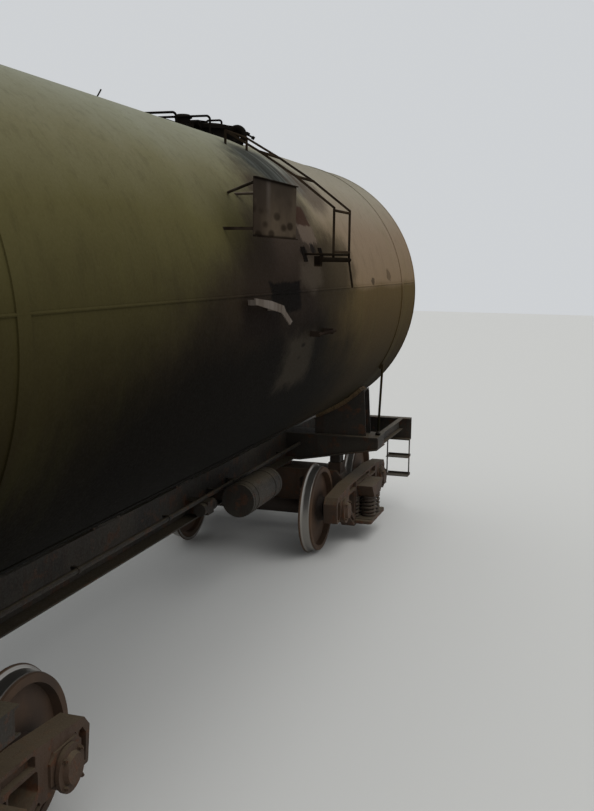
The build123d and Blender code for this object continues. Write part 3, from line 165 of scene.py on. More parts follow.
def band(tree, value, low, high, to_low=0.0, to_high=1.0):
    """A soft step from one value to another."""
    values = {"Value": value, "From Min": low, "From Max": high, "To Min": to_low, "To Max": to_high}
    return put(tree, "ShaderNodeMapRange", values, interpolation_type="SMOOTHSTEP").outputs["Result"]


def sum_up(tree, operation, first, second=0.0):
    """One step of arithmetic."""
    return put(tree, "ShaderNodeMath", {0: first, 1: second}, operation=operation).outputs[0]


def times(tree, first, second):
    """Two values multiplied."""
    return sum_up(tree, "MULTIPLY", first, second)


def distance(tree, value, middle):
    """How far a value is from a middle one."""
    return sum_up(tree, "ABSOLUTE", sum_up(tree, "SUBTRACT", value, middle))


# %% [markdown]
# Paint and dirt lie over each other in layers. A layer is a mask, a strength and a colour. It is mixed
# over what is there already, so a finish is built up in the order in which the real one got dirty.

# %% Colour layers


def mixed(tree, share, first, second, blend="MIX"):
    """Two colours mixed by a share."""
    made = put(tree, "ShaderNodeMix", data_type="RGBA", blend_type=blend)
    for index, value in ((0, share), (6, first), (7, second)):
        if isinstance(value, bpy.types.NodeSocket):
            tree.links.new(value, made.inputs[index])
        else:
            made.inputs[index].default_value = value
    return made.outputs[2]


def layer(tree, base, mask, strength, shade, blend="MIX"):
    """A colour laid over the base where the mask is, at a strength."""
    return mixed(tree, times(tree, mask, strength), base, shade, blend)


def ramp(tree, value, stops):
    """A colour that runs through stops, each a place from 0 to 1 and a colour."""
    made = put(tree, "ShaderNodeValToRGB", {"Fac": value})
    points = made.color_ramp.elements
    for index, (at, shade) in enumerate(stops):
        point = points[index] if index < 2 else points.new(at)
        point.position = at
        point.color = colour(*shade)
    return made.outputs["Color"]


# %% [markdown]
# Every finish starts as an empty material and ends with the same joints: a colour, a roughness and a
# height go into the surface shader. The height only tilts the light, which is enough for grain and
# rust, because they stand a fraction of a millimetre proud. Finished materials are kept by name.

# %% Start and end of a finish
FINISHES = {}


def shader(name, roughness=0.6, shine=0.2):
    """An empty finish: its tree and its surface shader."""
    made = bpy.data.materials.new(name)
    made.use_nodes = True
    surface = made.node_tree.nodes["Principled BSDF"]
    surface.inputs["Roughness"].default_value = roughness
    surface.inputs["Specular IOR Level"].default_value = shine
    return made, made.node_tree, surface


def feed(tree, surface, base, rough, height, strength, depth):
    """Joins a colour, a roughness and a height to the surface. A roughness of None stays plain."""
    tree.links.new(base, surface.inputs["Base Color"])
    if rough is not None:
        tree.links.new(rough, surface.inputs["Roughness"])
    bump = put(tree, "ShaderNodeBump", {"Height": height, "Strength": strength, "Distance": depth})
    tree.links.new(bump.outputs["Normal"], surface.inputs["Normal"])


def keep(name, material):
    """Keeps a finish by its name."""
    FINISHES[name] = material
    print(name, len(material.node_tree.nodes), "nodes")


# %% [markdown]
# A car that has worked outdoors for years is dirty in the same few ways all over: cloudy fading,
# fine grain, runs that rain has drawn down the sides, and dust on what faces up. One node group
# makes the four masks, and each finish uses them with its own colours.

# %% Weather group
MASK_NAMES = ("Fading", "Grain", "Runs", "Dust")


def weather_group():
    """Masks of fading, grain, runs and dust."""
    tree = bpy.data.node_groups.new("weather", "ShaderNodeTree")
    tree.interface.new_socket("Point", in_out="INPUT", socket_type="NodeSocketVector")
    size = tree.interface.new_socket("Size", in_out="INPUT", socket_type="NodeSocketFloat")
    size.default_value = 1.0
    for name in MASK_NAMES:
        tree.interface.new_socket(name, in_out="OUTPUT", socket_type="NodeSocketFloat")
    given = tree.nodes.new("NodeGroupInput").outputs
    result = tree.nodes.new("NodeGroupOutput").inputs
    sized = {0: given["Point"], "Scale": given["Size"]}
    point = put(tree, "ShaderNodeVectorMath", sized, operation="SCALE").outputs[0]
    fading = band(tree, noise(tree, point, 1.3, 4), 0.3, 0.7)
    grain = noise(tree, point, 60, 3, 0.7)
    runs_at = stretched(tree, point, (1.0, 1.0, 0.07))
    runs = band(tree, noise(tree, runs_at, 14, 4, 0.6, 0.3), 0.48, 0.72)
    up = split(tree, put(tree, "ShaderNodeNewGeometry").outputs["Normal"])[2]
    patchy = times(tree, noise(tree, point, 9, 4), 0.7)
    dust = band(tree, sum_up(tree, "ADD", up, patchy), 0.75, 1.35)
    for name, value in zip(MASK_NAMES, (fading, grain, runs, dust)):
        tree.links.new(value, result[name])
    return tree


WEATHER = weather_group()
print("weather group with", len(WEATHER.nodes), "nodes puts out", MASK_NAMES)


def weather(tree, point, size=1.0):
    """The weather masks on a material."""
    made = put(tree, "ShaderNodeGroup", node_tree=WEATHER)
    tree.links.new(point, made.inputs["Point"])
    made.inputs["Size"].default_value = size
    return made.outputs


# %% [markdown]
# The barrel's paint is a dull olive on top and browner towards the far end. Going down it turns nearly
# black, partly from soot, oil and road dirt and partly as painted shade of the underside, and the pale
# grey at the crown is a painted highlight of the sky. So its colour is a ramp from the tank's bottom to
# its crown, one for each end, and the two ramps mix along the car. Clouds of noise make their borders
# wander.

# %% Tank colours
TANK_LOW, TANK_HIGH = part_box("tank_barrel")
TANK_AXIS_Z = (TANK_LOW.z + TANK_HIGH.z) / 2
TANK_R = (TANK_HIGH.z - TANK_LOW.z) / 2
# Both ramps hold painted shade low down and a painted sky highlight at the crown.
OLIVE_SHADED_RAMP = (  # height from the bottom to the crown, colour
    (0.0, (8, 7, 4)),
    (0.22, (16, 13, 7)),
    (0.40, (42, 36, 18)),
    (0.55, (66, 60, 34)),
    (0.70, (88, 82, 51)),
    (0.82, (112, 107, 80)),
    (0.97, (138, 138, 120)),
)
BROWN_SHADED_RAMP = (
    (0.0, (12, 9, 6)),
    (0.25, (50, 41, 26)),
    (0.53, (88, 72, 44)),
    (0.56, (128, 108, 84)),
    (0.72, (134, 116, 96)),
    (0.88, (147, 139, 122)),
    (1.0, (138, 133, 118)),
)
OLIVE_WANDER = 0.16
BROWN_WANDER = 0.05
BORDER_WANDER = 2.2
OLIVE_END_X = 0.1
BROWN_START_X = 1.9


def tank_colours_and_shade(tree, point):
    """Olive in front and brown behind, each dark below partly as painted shade, and pale at the crown as a
    painted sky highlight.
    """
    x, _, z = split(tree, point)
    clouds = sum_up(tree, "SUBTRACT", noise(tree, point, 0.9, 4), 0.5)
    span = {"Value": z, "From Min": TANK_LOW.z, "From Max": TANK_HIGH.z}
    height = put(tree, "ShaderNodeMapRange", span).outputs["Result"]
    olive = ramp(tree, sum_up(tree, "ADD", height, times(tree, clouds, OLIVE_WANDER)), OLIVE_SHADED_RAMP)
    brown = ramp(tree, sum_up(tree, "ADD", height, times(tree, clouds, BROWN_WANDER)), BROWN_SHADED_RAMP)
    along = sum_up(tree, "ADD", x, times(tree, clouds, BORDER_WANDER))
    return mixed(tree, band(tree, along, OLIVE_END_X, BROWN_START_X), olive, brown)


print("tank radius", round(TANK_R, 3), "m, axis", round(TANK_AXIS_Z, 3), "m above the floor")

# %% [markdown]
# Three kinds of damage lie over the paint: a broad dark stain below the hatch, pale runs where spills
# have washed the side, and small patches where a fitting was torn off down to rusty metal. The table
# holds painted shade too: a soft dark square of painted shadow under the ladder remains, a near-black
# square of painted shade that stands for a recess, and a near-black patch low on the near half, partly
# oil and partly painted shade of the underside. Each is a round or square mask with a ragged edge,
# placed by its distance along the tank and its angle above the middle, so that a table is enough to lay
# them out.

# %% Stain table
BROAD = (1.4, 0.8, False)  # raggedness, width of the soft edge, whether it is square
CRISP = (2.2, 0.4, False)
SQUARE = (0.8, 0.22, True)
SOFT_SQUARE = (1.2, 0.7, True)
STAINS_AND_SHADOWS = (  # place along the car, angle, reach along it, reach round it, strength, edge, colour
    (0.0, 19, 0.85, 0.75, 0.92, BROAD, (54, 43, 36)),
    (-0.4, 8, 1.1, 0.4, 0.8, BROAD, (54, 44, 36)),
    (-0.7, -6, 1.6, 0.55, 0.85, BROAD, (38, 29, 21)),
    # partly oil and partly painted shade: the near-black patch low on the near half darkens the underside
    (-1.0, -34, 2.7, 0.85, 0.95, BROAD, (11, 8, 4)),
    (1.0, 11, 0.7, 0.34, 0.85, BROAD, (50, 41, 27)),
    (0.7, 50, 0.75, 0.3, 0.95, BROAD, (46, 47, 43)),
    (1.3, 42, 0.4, 0.24, 0.75, BROAD, (80, 68, 58)),
    (0.47, 24, 0.24, 0.11, 0.6, CRISP, (112, 97, 84)),
    (0.48, 29.5, 0.17, 0.08, 0.9, SQUARE, (56, 36, 25)),
    (0.2, 17.5, 0.1, 0.04, 0.95, CRISP, (20, 14, 9)),
    (0.47, 18.5, 0.07, 0.045, 0.95, CRISP, (20, 14, 9)),
    (0.28, 10, 0.3, 0.13, 0.5, BROAD, (84, 74, 62)),
    # painted shade: a near-black square that stands for a recess
    (-0.42, 4.2, 0.36, 0.11, 0.97, SQUARE, (9, 5, 2)),
    # painted shadow: a soft dark square under the ladder remains
    (-0.95, -1.5, 0.42, 0.12, 0.85, SOFT_SQUARE, (23, 16, 11)),
    (0.02, -15.5, 0.36, 0.2, 0.28, SOFT_SQUARE, (88, 79, 66)),
    (2.42, 7, 0.07, 0.04, 0.7, CRISP, (42, 33, 22)),
    (3.2, 9, 0.1, 0.06, 0.6, CRISP, (70, 56, 38)),
)
PALE_RUNS = (  # the same columns
    (0.75, 50, 0.65, 0.3, 0.42, BROAD, (118, 122, 116)),
    (1.6, 54, 0.8, 0.22, 0.6, BROAD, (150, 147, 134)),
)
SPECKS_AT = (0.0, -15)
SPECKS_REACH = (0.4, 0.24, 0.24)
print(len(STAINS_AND_SHADOWS), "stains and", len(PALE_RUNS), "pale runs")

# %% [markdown]
# A stain's mask measures how far the point is from the stain's centre, counted in its reach. The
# longest of the three parts makes a square, their length a round patch. Noise bends the distance
# before a soft step cuts it off, which frays the edge as peeling paint does.

# %% Stains


def on_side(x, angle):
    """A point of the barrel's photographed side, from its place along the car and its angle in degrees."""
    turn = radians(angle)
    return (x, -TANK_R * cos(turn), TANK_AXIS_Z + TANK_R * sin(turn))


def patch(tree, point, centre, reach, ragged, edge, square=False):
    """A round or square mask about a centre, as wide as its reach each way, with a ragged and soft edge."""
    share = stretched(tree, point, [1 / size for size in reach], centre)
    if square:
        size = put(tree, "ShaderNodeVectorMath", {0: share}, operation="ABSOLUTE").outputs[0]
        x, y, z = split(tree, size)
        far = sum_up(tree, "MAXIMUM", x, sum_up(tree, "MAXIMUM", y, z))
    else:
        far = put(tree, "ShaderNodeVectorMath", {0: share}, operation="LENGTH").outputs["Value"]
    clouds = sum_up(tree, "SUBTRACT", noise(tree, point, 1.6 / max(reach), 6, 0.7), 0.5)
    bent = sum_up(tree, "ADD", far, times(tree, clouds, ragged))
    return band(tree, bent, 1.0 + edge / 2, 1.0 - edge / 2)


def stained_and_shaded(tree, point, base):
    """Lays the stains, the painted shade and shadow among them, the pale runs and the dark specks over a
    colour.
    """
    for where, angle, reach_x, reach_round, strength, edge, shade in STAINS_AND_SHADOWS:
        around = patch(tree, point, on_side(where, angle), (reach_x, reach_round, reach_round), *edge)
        base = layer(tree, base, around, strength, colour(*shade))
    drawn = band(tree, noise(tree, stretched(tree, point, (1.0, 0.12, 0.12)), 9, 4, 0.6), 0.42, 0.66)
    for where, angle, reach_x, reach_round, strength, edge, shade in PALE_RUNS:
        around = patch(tree, point, on_side(where, angle), (reach_x, reach_round, reach_round), *edge)
        base = layer(tree, base, times(tree, around, drawn), strength, colour(*shade))
    specks = band(tree, cells(tree, stretched(tree, point, (0.35, 1, 1)), 11), 0.3, 0.12)
    speckled = patch(tree, point, on_side(*SPECKS_AT), SPECKS_REACH, 0.5, 0.5)
    return layer(tree, base, specks, speckled, colour(26, 20, 15))


# %% [markdown]
# The whole paint puts these together: the colours with their painted shade and highlight, streaks of
# fresher green, faint runs, the stains with their painted shadows, and a fine dark grain over all. The
# sheet itself is a little uneven, so the height holds slow waves as well as grain. Old matt paint hardly
# shines, and its shine is set almost to nothing.

# %% Tank paint
FRESH_STRETCH = (1.6, 0.5, 0.35)
WAVE_HEIGHT = 3.0


def tank_paint():
    """The paint of the barrel with its dirt, stains, runs, painted shade, painted shadows and painted
    highlight.
    """
    material, tree, surface = shader("tank_paint", shine=0.03)
    point = place(tree)
    masks = weather(tree, point)
    base = tank_colours_and_shade(tree, point)
    fresh = band(tree, noise(tree, stretched(tree, point, FRESH_STRETCH), 1.5, 3), 0.5, 0.72)
    base = layer(tree, base, fresh, 0.3, mixed(tree, 0.3, base, colour(104, 104, 52)))
    base = layer(tree, base, masks["Runs"], 0.16, colour(44, 37, 24))
    base = stained_and_shaded(tree, point, base)
    base = layer(tree, base, masks["Grain"], 0.22, colour(30, 26, 18), "MULTIPLY")
    rough = band(tree, masks["Grain"], 0.2, 0.8, 0.7, 0.9)
    uneven = sum_up(tree, "ADD", times(tree, noise(tree, point, 2.2, 2), WAVE_HEIGHT), masks["Grain"])
    feed(tree, surface, base, rough, uneven, 0.25, 0.004)
    return material


keep("tank_paint", tank_paint())

# %% [markdown]
# Steel that carries load was painted once and has rusted since. The same finish makes all of it, with
# other colours each time: paint, rust that breaks through in patches and along the runs, and dust. A
# table of colours is easier to compare and to change than five separate materials.

# %% Painted and bare steel
RUSTY = (  # name, paint, worn paint, rust, dust, share of rust, roughness, fineness, shine
    ("fitting_paint", (44, 38, 32), (60, 50, 40), (70, 44, 28), (96, 88, 72), 0.35, 0.65, 2.0, 0.2),
    ("frame_paint", (40, 37, 33), (58, 52, 44), (74, 48, 31), (98, 88, 70), 0.5, 0.65, 1.0, 0.2),
    ("cast_steel", (62, 50, 41), (80, 62, 48), (88, 56, 36), (106, 94, 74), 0.55, 0.7, 1.6, 0.2),
    ("spring_steel", (52, 46, 41), (72, 60, 50), (92, 58, 36), (100, 90, 72), 0.4, 0.6, 3.0, 0.2),
    ("black_fitting", (18, 17, 15), (30, 27, 24), (40, 29, 21), (40, 37, 32), 0.2, 0.7, 2.0, 0.0),
)


def rusty(name, paint, worn, rust, dust, share, roughness, fineness, shine):
    """Old paint or bare steel with rust patches, runs and dust."""
    material, tree, surface = shader(name, shine=shine)
    point = place(tree)
    masks = weather(tree, point, fineness)
    base = mixed(tree, masks["Fading"], colour(*paint), colour(*worn))
    clouds = noise(tree, point, 7.0 * fineness, 8, 0.7)
    eaten = band(tree, clouds, 0.68 - share * 0.3, 0.78 - share * 0.3)
    base = layer(tree, base, eaten, 0.8, colour(*rust))
    base = layer(tree, base, masks["Runs"], 0.5, mixed(tree, 0.6, colour(*rust), colour(20, 15, 12)))
    base = layer(tree, base, masks["Dust"], 0.6, colour(*dust))
    base = layer(tree, base, masks["Grain"], 0.35, colour(24, 20, 16), "MULTIPLY")
    rough = band(tree, masks["Grain"], 0.2, 0.8, roughness - 0.12, roughness + 0.2)
    rise = sum_up(tree, "ADD", masks["Grain"], times(tree, eaten, 0.8))
    feed(tree, surface, base, rough, rise, 0.35, 0.003)
    return material


for row in RUSTY:
    keep(row[0], rusty(*row))

# %% [markdown]
# Of the second ladder on the photographed side only a bent plate and a bar are left. The plate has been
# scraped bright. The bar further along is as dark as the stain behind it, so the finish changes with x.

# %% Ladder remains
BRIGHT_END_X = -0.1
DARK_START_X = 0.1


def scraped_steel():
    """Bright scraped metal that turns dark further along the car."""
    material, tree, surface = shader("scraped_steel", roughness=0.8, shine=0.0)
    point = place(tree)
    masks = weather(tree, point, 2.0)
    bright = mixed(tree, masks["Fading"], colour(118, 110, 103), colour(92, 84, 76))
    bright = layer(tree, bright, masks["Runs"], 0.5, colour(58, 44, 34))
    dark = mixed(tree, masks["Fading"], colour(30, 24, 20), colour(46, 38, 32))
    share = band(tree, split(tree, point)[0], BRIGHT_END_X, DARK_START_X)
    feed(tree, surface, mixed(tree, share, bright, dark), None, masks["Grain"], 0.3, 0.003)
    return material


keep("scraped_steel", scraped_steel())

# %% [markdown]
# The photographed ladder is brown with rust, but its bent bottom step is black with oil. Its finish
# changes with height, close to the step.

# %% Ladder iron
STEP_Z = 3.25
STEP_HALF = 0.03
STEP_FADE = 0.03


def ladder_iron():
    """Brown iron that turns black at the bottom step."""
    material, tree, surface = shader("ladder_iron", roughness=0.9, shine=0.0)
    point = place(tree)
    masks = weather(tree, point, 3.0)
    brown = mixed(tree, masks["Fading"], colour(44, 37, 29), colour(62, 51, 39))
    brown = layer(tree, brown, masks["Grain"], 0.5, colour(40, 30, 22), "MULTIPLY")
    black = mixed(tree, masks["Fading"], colour(16, 12, 9), colour(27, 22, 16))
    from_step = distance(tree, split(tree, point)[2], STEP_Z)
    share = band(tree, from_step, STEP_HALF + STEP_FADE, STEP_HALF)
    feed(tree, surface, mixed(tree, share, brown, black), None, masks["Grain"], 0.3, 0.002)
    return material


keep("ladder_iron", ladder_iron())

# %% [markdown]
# A wheel is brown with brake dust, but its tread and the side of its flange run bright on the rail.
# All eight wheels share one material: it measures the distance to the nearest axle, which is the same
# sum for each because the axles stand evenly about the middle of the car.

# %% Wheel steel
OUTER_LOW, OUTER_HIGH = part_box("rear_outer_wheels")
INNER_LOW, INNER_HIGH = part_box("rear_inner_wheels")
FLANGE_DEPTH = 0.028
FLANGE_R = (OUTER_HIGH.z - OUTER_LOW.z) / 2
TREAD_R = FLANGE_R - FLANGE_DEPTH
AXLE_Z = (OUTER_HIGH.z + OUTER_LOW.z) / 2
OUTER_X = (OUTER_LOW.x + OUTER_HIGH.x) / 2
INNER_X = (INNER_LOW.x + INNER_HIGH.x) / 2
BOGIE_X = (OUTER_X + INNER_X) / 2
HALF_WHEELBASE = (OUTER_X - INNER_X) / 2
HUB_GRIME = (0.24, 0.12)  # the radius where it starts, where it is thick
BRIGHT_START = (TREAD_R - 0.008, TREAD_R - 0.004)
BRIGHT_END = (FLANGE_R - 0.006, FLANGE_R - 0.012)
DULL = (0.72, 0.72, 0.72, 1.0)
POLISHED = (0.32, 0.32, 0.32, 1.0)
print("axles at", round(INNER_X, 3), round(OUTER_X, 3), "bogie", round(BOGIE_X, 3))


def wheel_steel():
    """Brown wheel steel with a bright tread."""
    material, tree, surface = shader("wheel_steel")
    point = place(tree)
    x, _, z = split(tree, point)
    from_bogie = distance(tree, sum_up(tree, "ABSOLUTE", x), BOGIE_X)
    across = sum_up(tree, "SUBTRACT", from_bogie, HALF_WHEELBASE)
    rise = sum_up(tree, "SUBTRACT", z, AXLE_Z)
    square = sum_up(tree, "ADD", times(tree, across, across), times(tree, rise, rise))
    radius = sum_up(tree, "SQRT", square)
    masks = weather(tree, point, 1.5)
    base = mixed(tree, masks["Fading"], colour(66, 52, 42), colour(88, 66, 48))
    base = layer(tree, base, band(tree, radius, *HUB_GRIME), 0.75, colour(30, 25, 21))
    base = layer(tree, base, masks["Grain"], 0.4, colour(30, 23, 18), "MULTIPLY")
    bright = times(tree, band(tree, radius, *BRIGHT_START), band(tree, radius, *BRIGHT_END))
    base = mixed(tree, bright, base, colour(150, 146, 140))
    tree.links.new(times(tree, bright, 0.9), surface.inputs["Metallic"])
    feed(tree, surface, base, mixed(tree, bright, DULL, POLISHED), masks["Grain"], 0.3, 0.002)
    return material


keep("wheel_steel", wheel_steel())

# %% [markdown]
# The board beside the ladder is a plain dark sheet, brown with grime and pitted with pale and rusty
# spots. Round cells, cut off at a small radius, make the spots. The near edge and the top are darker,
# and one pale streak runs down. Along the rolled top and bottom edges runs a nearly black line of
# painted shadow.

# %% Board layers
BOARD_NEAR_X = -1.43
BOARD_HEIGHT = 0.375
BOARD_TOP_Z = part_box("side_board")[1].z
BOARD_FOOT_Z = BOARD_TOP_Z - BOARD_HEIGHT
BOARD_MIDDLE_Z = (BOARD_TOP_Z + BOARD_FOOT_Z) / 2
STREAK_X = BOARD_NEAR_X + 0.28
STREAK_HALF = 0.07
NEAR_EDGE = (BOARD_NEAR_X + 0.4, BOARD_NEAR_X + 0.05)  # where the shade starts, where it is full
# where the painted shadow line along each edge starts, and where it is full, from the middle
RIM_SHADOW = (BOARD_HEIGHT / 2 - 0.022, BOARD_HEIGHT / 2 - 0.006)


def board_shades(tree, base, along, up):
    """The dark near edge, the darker top and the pale streak."""
    base = layer(tree, base, band(tree, along, *NEAR_EDGE), 0.75, colour(42, 35, 29))
    base = layer(tree, base, band(tree, up, BOARD_FOOT_Z + 0.1, BOARD_TOP_Z), 0.6, colour(46, 41, 37))
    narrow = band(tree, distance(tree, along, STREAK_X), STREAK_HALF, 0.0)
    streak = times(tree, narrow, band(tree, up, BOARD_FOOT_Z, BOARD_TOP_Z))
    return layer(tree, base, streak, 0.3, colour(104, 96, 90))


def board_spots(tree, base, point, up):
    """Pale spots all over and dark pits in the lower half, both drawn out along the board."""
    drawn_out = stretched(tree, point, (0.4, 1, 1))
    spots = band(tree, cells(tree, drawn_out, 9), 0.3, 0.1)
    pale = times(tree, spots, band(tree, noise(tree, point, 4), 0.45, 0.6))
    base = layer(tree, base, pale, 0.4, colour(96, 84, 70))
    pits = band(tree, cells(tree, stretched(tree, drawn_out, (1, 1, 1), (0.3, 0.2, 0.1)), 11), 0.42, 0.2)
    low_half = band(tree, up, BOARD_TOP_Z - 0.1, BOARD_FOOT_Z + 0.1, 0.15, 1.0)
    return layer(tree, base, times(tree, pits, low_half), 0.7, colour(26, 20, 15))


print("board from", round(BOARD_FOOT_Z, 3), "to", round(BOARD_TOP_Z, 3), "m above the floor")

# %% [markdown]
# On the board the brown paint lies below all this, the painted shadow at the edges comes next, and dust
# settled last. The whole could stand in one long function. Here the layers are called one after the
# other, because the finish then reads in the order in which the board got dirty.

# %% Board paint


def board_paint():
    """The spotted paint of the board."""
    material, tree, surface = shader("board_paint", shine=0.0)
    point = place(tree)
    masks = weather(tree, point, 2.0)
    along, _, up = split(tree, point)
    base = mixed(tree, masks["Fading"], colour(62, 53, 44), colour(84, 73, 60))
    base = board_shades(tree, base, along, up)
    base = board_spots(tree, base, point, up)
    # painted shadow: nearly black lines along the top and bottom edges
    rim_shadows = band(tree, distance(tree, up, BOARD_MIDDLE_Z), *RIM_SHADOW)
    base = layer(tree, base, rim_shadows, 0.8, colour(20, 15, 12))
    base = layer(tree, base, masks["Dust"], 0.6, colour(132, 124, 110))
    feed(tree, surface, base, band(tree, masks["Grain"], 0.2, 0.8, 0.5, 0.75), masks["Grain"], 0.3, 0.002)
    return material


keep("board_paint", board_paint())

# %% [markdown]
# Wooden blocks lie between the barrel and its saddles. Wood shows its grain along each block. Noise
# drawn out along the car gives the grain, and serves as the height too, so that the grain stands up.

# %% Timber
GRAIN_STRETCH = (4, 40, 40)


def timber():
    """Weathered wood."""
    material, tree, surface = shader("timber", roughness=0.85)
    point = place(tree)
    masks = weather(tree, point)
    grain = noise(tree, stretched(tree, point, GRAIN_STRETCH), 3.0, 6, 0.6, 0.4)
    base = mixed(tree, band(tree, grain, 0.35, 0.65), colour(70, 55, 38), colour(112, 92, 66))
    base = layer(tree, base, masks["Runs"], 0.5, colour(32, 25, 18))
    feed(tree, surface, base, band(tree, grain, 0.2, 0.8, 0.75, 0.95), grain, 0.5, 0.004)
    return material


keep("timber", timber())

# %% [markdown]
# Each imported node's record names its material slot, and the finish of that name goes on it. A few
# nodes that differ from the rest of their slot get another finish by the node's name.

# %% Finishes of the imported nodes
NODE_FINISHES = {
    "front_tank_strap": "tank_paint",
    "rear_tank_strap": "tank_paint",
    "side_board": "board_paint",
    "hatch_neck": "black_fitting",
    "hatch_lid": "black_fitting",
    "top_platform": "black_fitting",
    "near_ladder": "ladder_iron",
    "ladder_remains": "scraped_steel",
    "relief_valve": "black_fitting",
    "platform_rails": "black_fitting",
    "hatch_clamps": "black_fitting",
    "drain_valve": "black_fitting",
}
for part in frame["record"]["subparts"]:
    node = part["node"]
    materials = frame["nodes"][node].data.materials
    materials.clear()
    materials.append(FINISHES[NODE_FINISHES.get(node, part["material_slot"])])

# %% [markdown]
# New pieces are shaped in a bmesh, an editable mesh without an object. When a shape is done, this
# helper turns its faces outwards, smooths it between sharp edges, and hands it to the body it rides on.

# %% From a shape to a piece
SHARP_ANGLE = radians(35)


def added(shape, name, finish, body):
    """Makes a piece of the edited mesh and lets it ride on a body."""
    bmesh.ops.recalc_face_normals(shape, faces=shape.faces[:])
    data = bpy.data.meshes.new(name)
    shape.to_mesh(data)
    shape.free()
    data.materials.append(FINISHES[finish])
    data.shade_smooth()
    data.set_sharp_from_angle(angle=SHARP_ANGLE)
    piece = bpy.data.objects.new(name, data)
    bpy.context.scene.collection.objects.link(piece)
    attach(piece, body)
    data.calc_loop_triangles()
    print(name, len(data.loop_triangles), "triangles")
    return piece


# %% [markdown]
# The trim is made of a few simple forms, each stood on its place with a matrix: bars and flat plates,
# nuts on washers, and round rivet heads. Each form has few faces, because it is repeated often.

# %% Bars and plates


def facing(at, direction):
    """A matrix that stands a shape on a point, with its Z along a direction."""
    turn = Vector(direction).to_track_quat("Z", "Y").to_matrix().to_4x4()
    return Matrix.Translation(at) @ turn


def round_bar(shape, start, end, radius, sides):
    """A straight bar between two points."""
    start, end = Vector(start), Vector(end)
    middle = facing((start + end) / 2, end - start)
    bmesh.ops.create_cone(shape, cap_ends=True, segments=sides, radius1=radius, radius2=radius,
                          depth=(end - start).length, matrix=middle)


def plate(shape, low, high):
    """A flat block between two corners."""
    low, high = Vector(low), Vector(high)
    sizes = Matrix.Diagonal((*(high - low), 1))
    bmesh.ops.create_cube(shape, size=1, matrix=Matrix.Translation((low + high) / 2) @ sizes)


# %% [markdown]
# A bolt shows three things: a washer, a nut and its own end. They could be modelled with a thread, but
# at this size only the outline shows. So three short cylinders do, and the one with six sides is the
# nut. A rivet's head is a ball pressed flat.

# %% Bolts and rivets
BOLT_STEPS = (  # sides, radius, height where it starts, where it ends, all as shares of the width
    (12, 0.78, 0.0, 0.12),
    (6, 0.577, 0.12, 0.72),
    (8, 0.3, 0.72, 1.0),
)
RIVET_R = 0.013
RIVET_FLATNESS = Matrix.Diagonal((1, 1, 0.6, 1))


def bolt(shape, at, direction, width):
    """A nut on its washer, with the end of its bolt."""
    stand = facing(at, direction)
    for sides, radius, low, high in BOLT_STEPS:
        middle = stand @ Matrix.Translation((0, 0, (low + high) / 2 * width))
        bmesh.ops.create_cone(shape, cap_ends=True, segments=sides, radius1=radius * width,
                              radius2=radius * width, depth=(high - low) * width, matrix=middle)


def bolt_ring(shape, centre, direction, radius, count, start, width):
    """Bolts in a ring that faces along one of the car's three axes, from a start angle on."""
    across, up = [axis for axis in Matrix.Identity(3) if axis.dot(Vector(direction)) == 0]
    for number in range(count):
        turn = radians(start + 360 / count * number)
        at = Vector(centre) + radius * cos(turn) * across + radius * sin(turn) * up
        bolt(shape, at, direction, width)


def rivet(shape, at, direction):
    """A low round rivet head."""
    bmesh.ops.create_uvsphere(shape, u_segments=8, v_segments=6, radius=RIVET_R,
                              matrix=facing(at, direction) @ RIVET_FLATNESS)


# %% [markdown]
# The barrel is rolled from long sheets. Their welds run the whole length, one a little above the
# middle on each side and one along each edge of the thick bottom sheet, and a round weld joins each
# head. A weld bead stands only a few millimetres proud, so a thin bar half sunk in the plate is enough.

# %% Weld beads
BEAD_R = 0.009
BEAD_SIDES = 8
HEAD_DEPTH = 0.75
HALF_STRAIGHT = TANK_HIGH.x - HEAD_DEPTH
SEAM_ANGLE = 5.4
BOTTOM_SHEET_ANGLE = -52
beads = bmesh.new()
for seam_angle in (SEAM_ANGLE, BOTTOM_SHEET_ANGLE):
    start_x, start_y, start_z = on_side(-HALF_STRAIGHT, seam_angle)
    for side in (-1, 1):
        y = side * start_y
        round_bar(beads, (start_x, y, start_z), (-start_x, y, start_z), BEAD_R, BEAD_SIDES)
for end_x in (-HALF_STRAIGHT, HALF_STRAIGHT):
    upright = Matrix.Translation((end_x, 0, TANK_HIGH.z)) @ Matrix.Rotation(pi / 2, 4, "X")
    made = bmesh.ops.create_circle(beads, segments=BEAD_SIDES, radius=BEAD_R, matrix=upright)
    loop = made["verts"] + list({edge for vert in made["verts"] for edge in vert.link_edges})
    bmesh.ops.spin(beads, geom=loop, cent=(end_x, 0, TANK_AXIS_Z), axis=(1, 0, 0), angle=2 * pi, steps=128,
                   use_merge=True, use_duplicate=False)
added(beads, "tank_weld_beads", "tank_paint", "car")

# %% [markdown]
# Each bogie rests on two nests of seven coil springs, and each coil holds a thinner one inside. A
# coil is a ring of points spun round an upright axis while it climbs. Its first and last turns lie
# flat, as a real spring's ground ends do, so the spin goes in three stages. Each of the two coils is
# made once and copied, because a spin of many steps is slow.

# %% Coil springs
SEAT_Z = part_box("rear_bogie_springs")[0].z
SPRING_TOP_Z = 0.5
BASE_THICKNESS = 0.006
FLAT_TURNS = 0.7
COILS = (  # middle radius, wire radius, climbing turns, steps a turn, sides of the wire
    (0.071, 0.0165, 4.6, 18, 8),
    (0.036, 0.0095, 7.0, 14, 6),
)


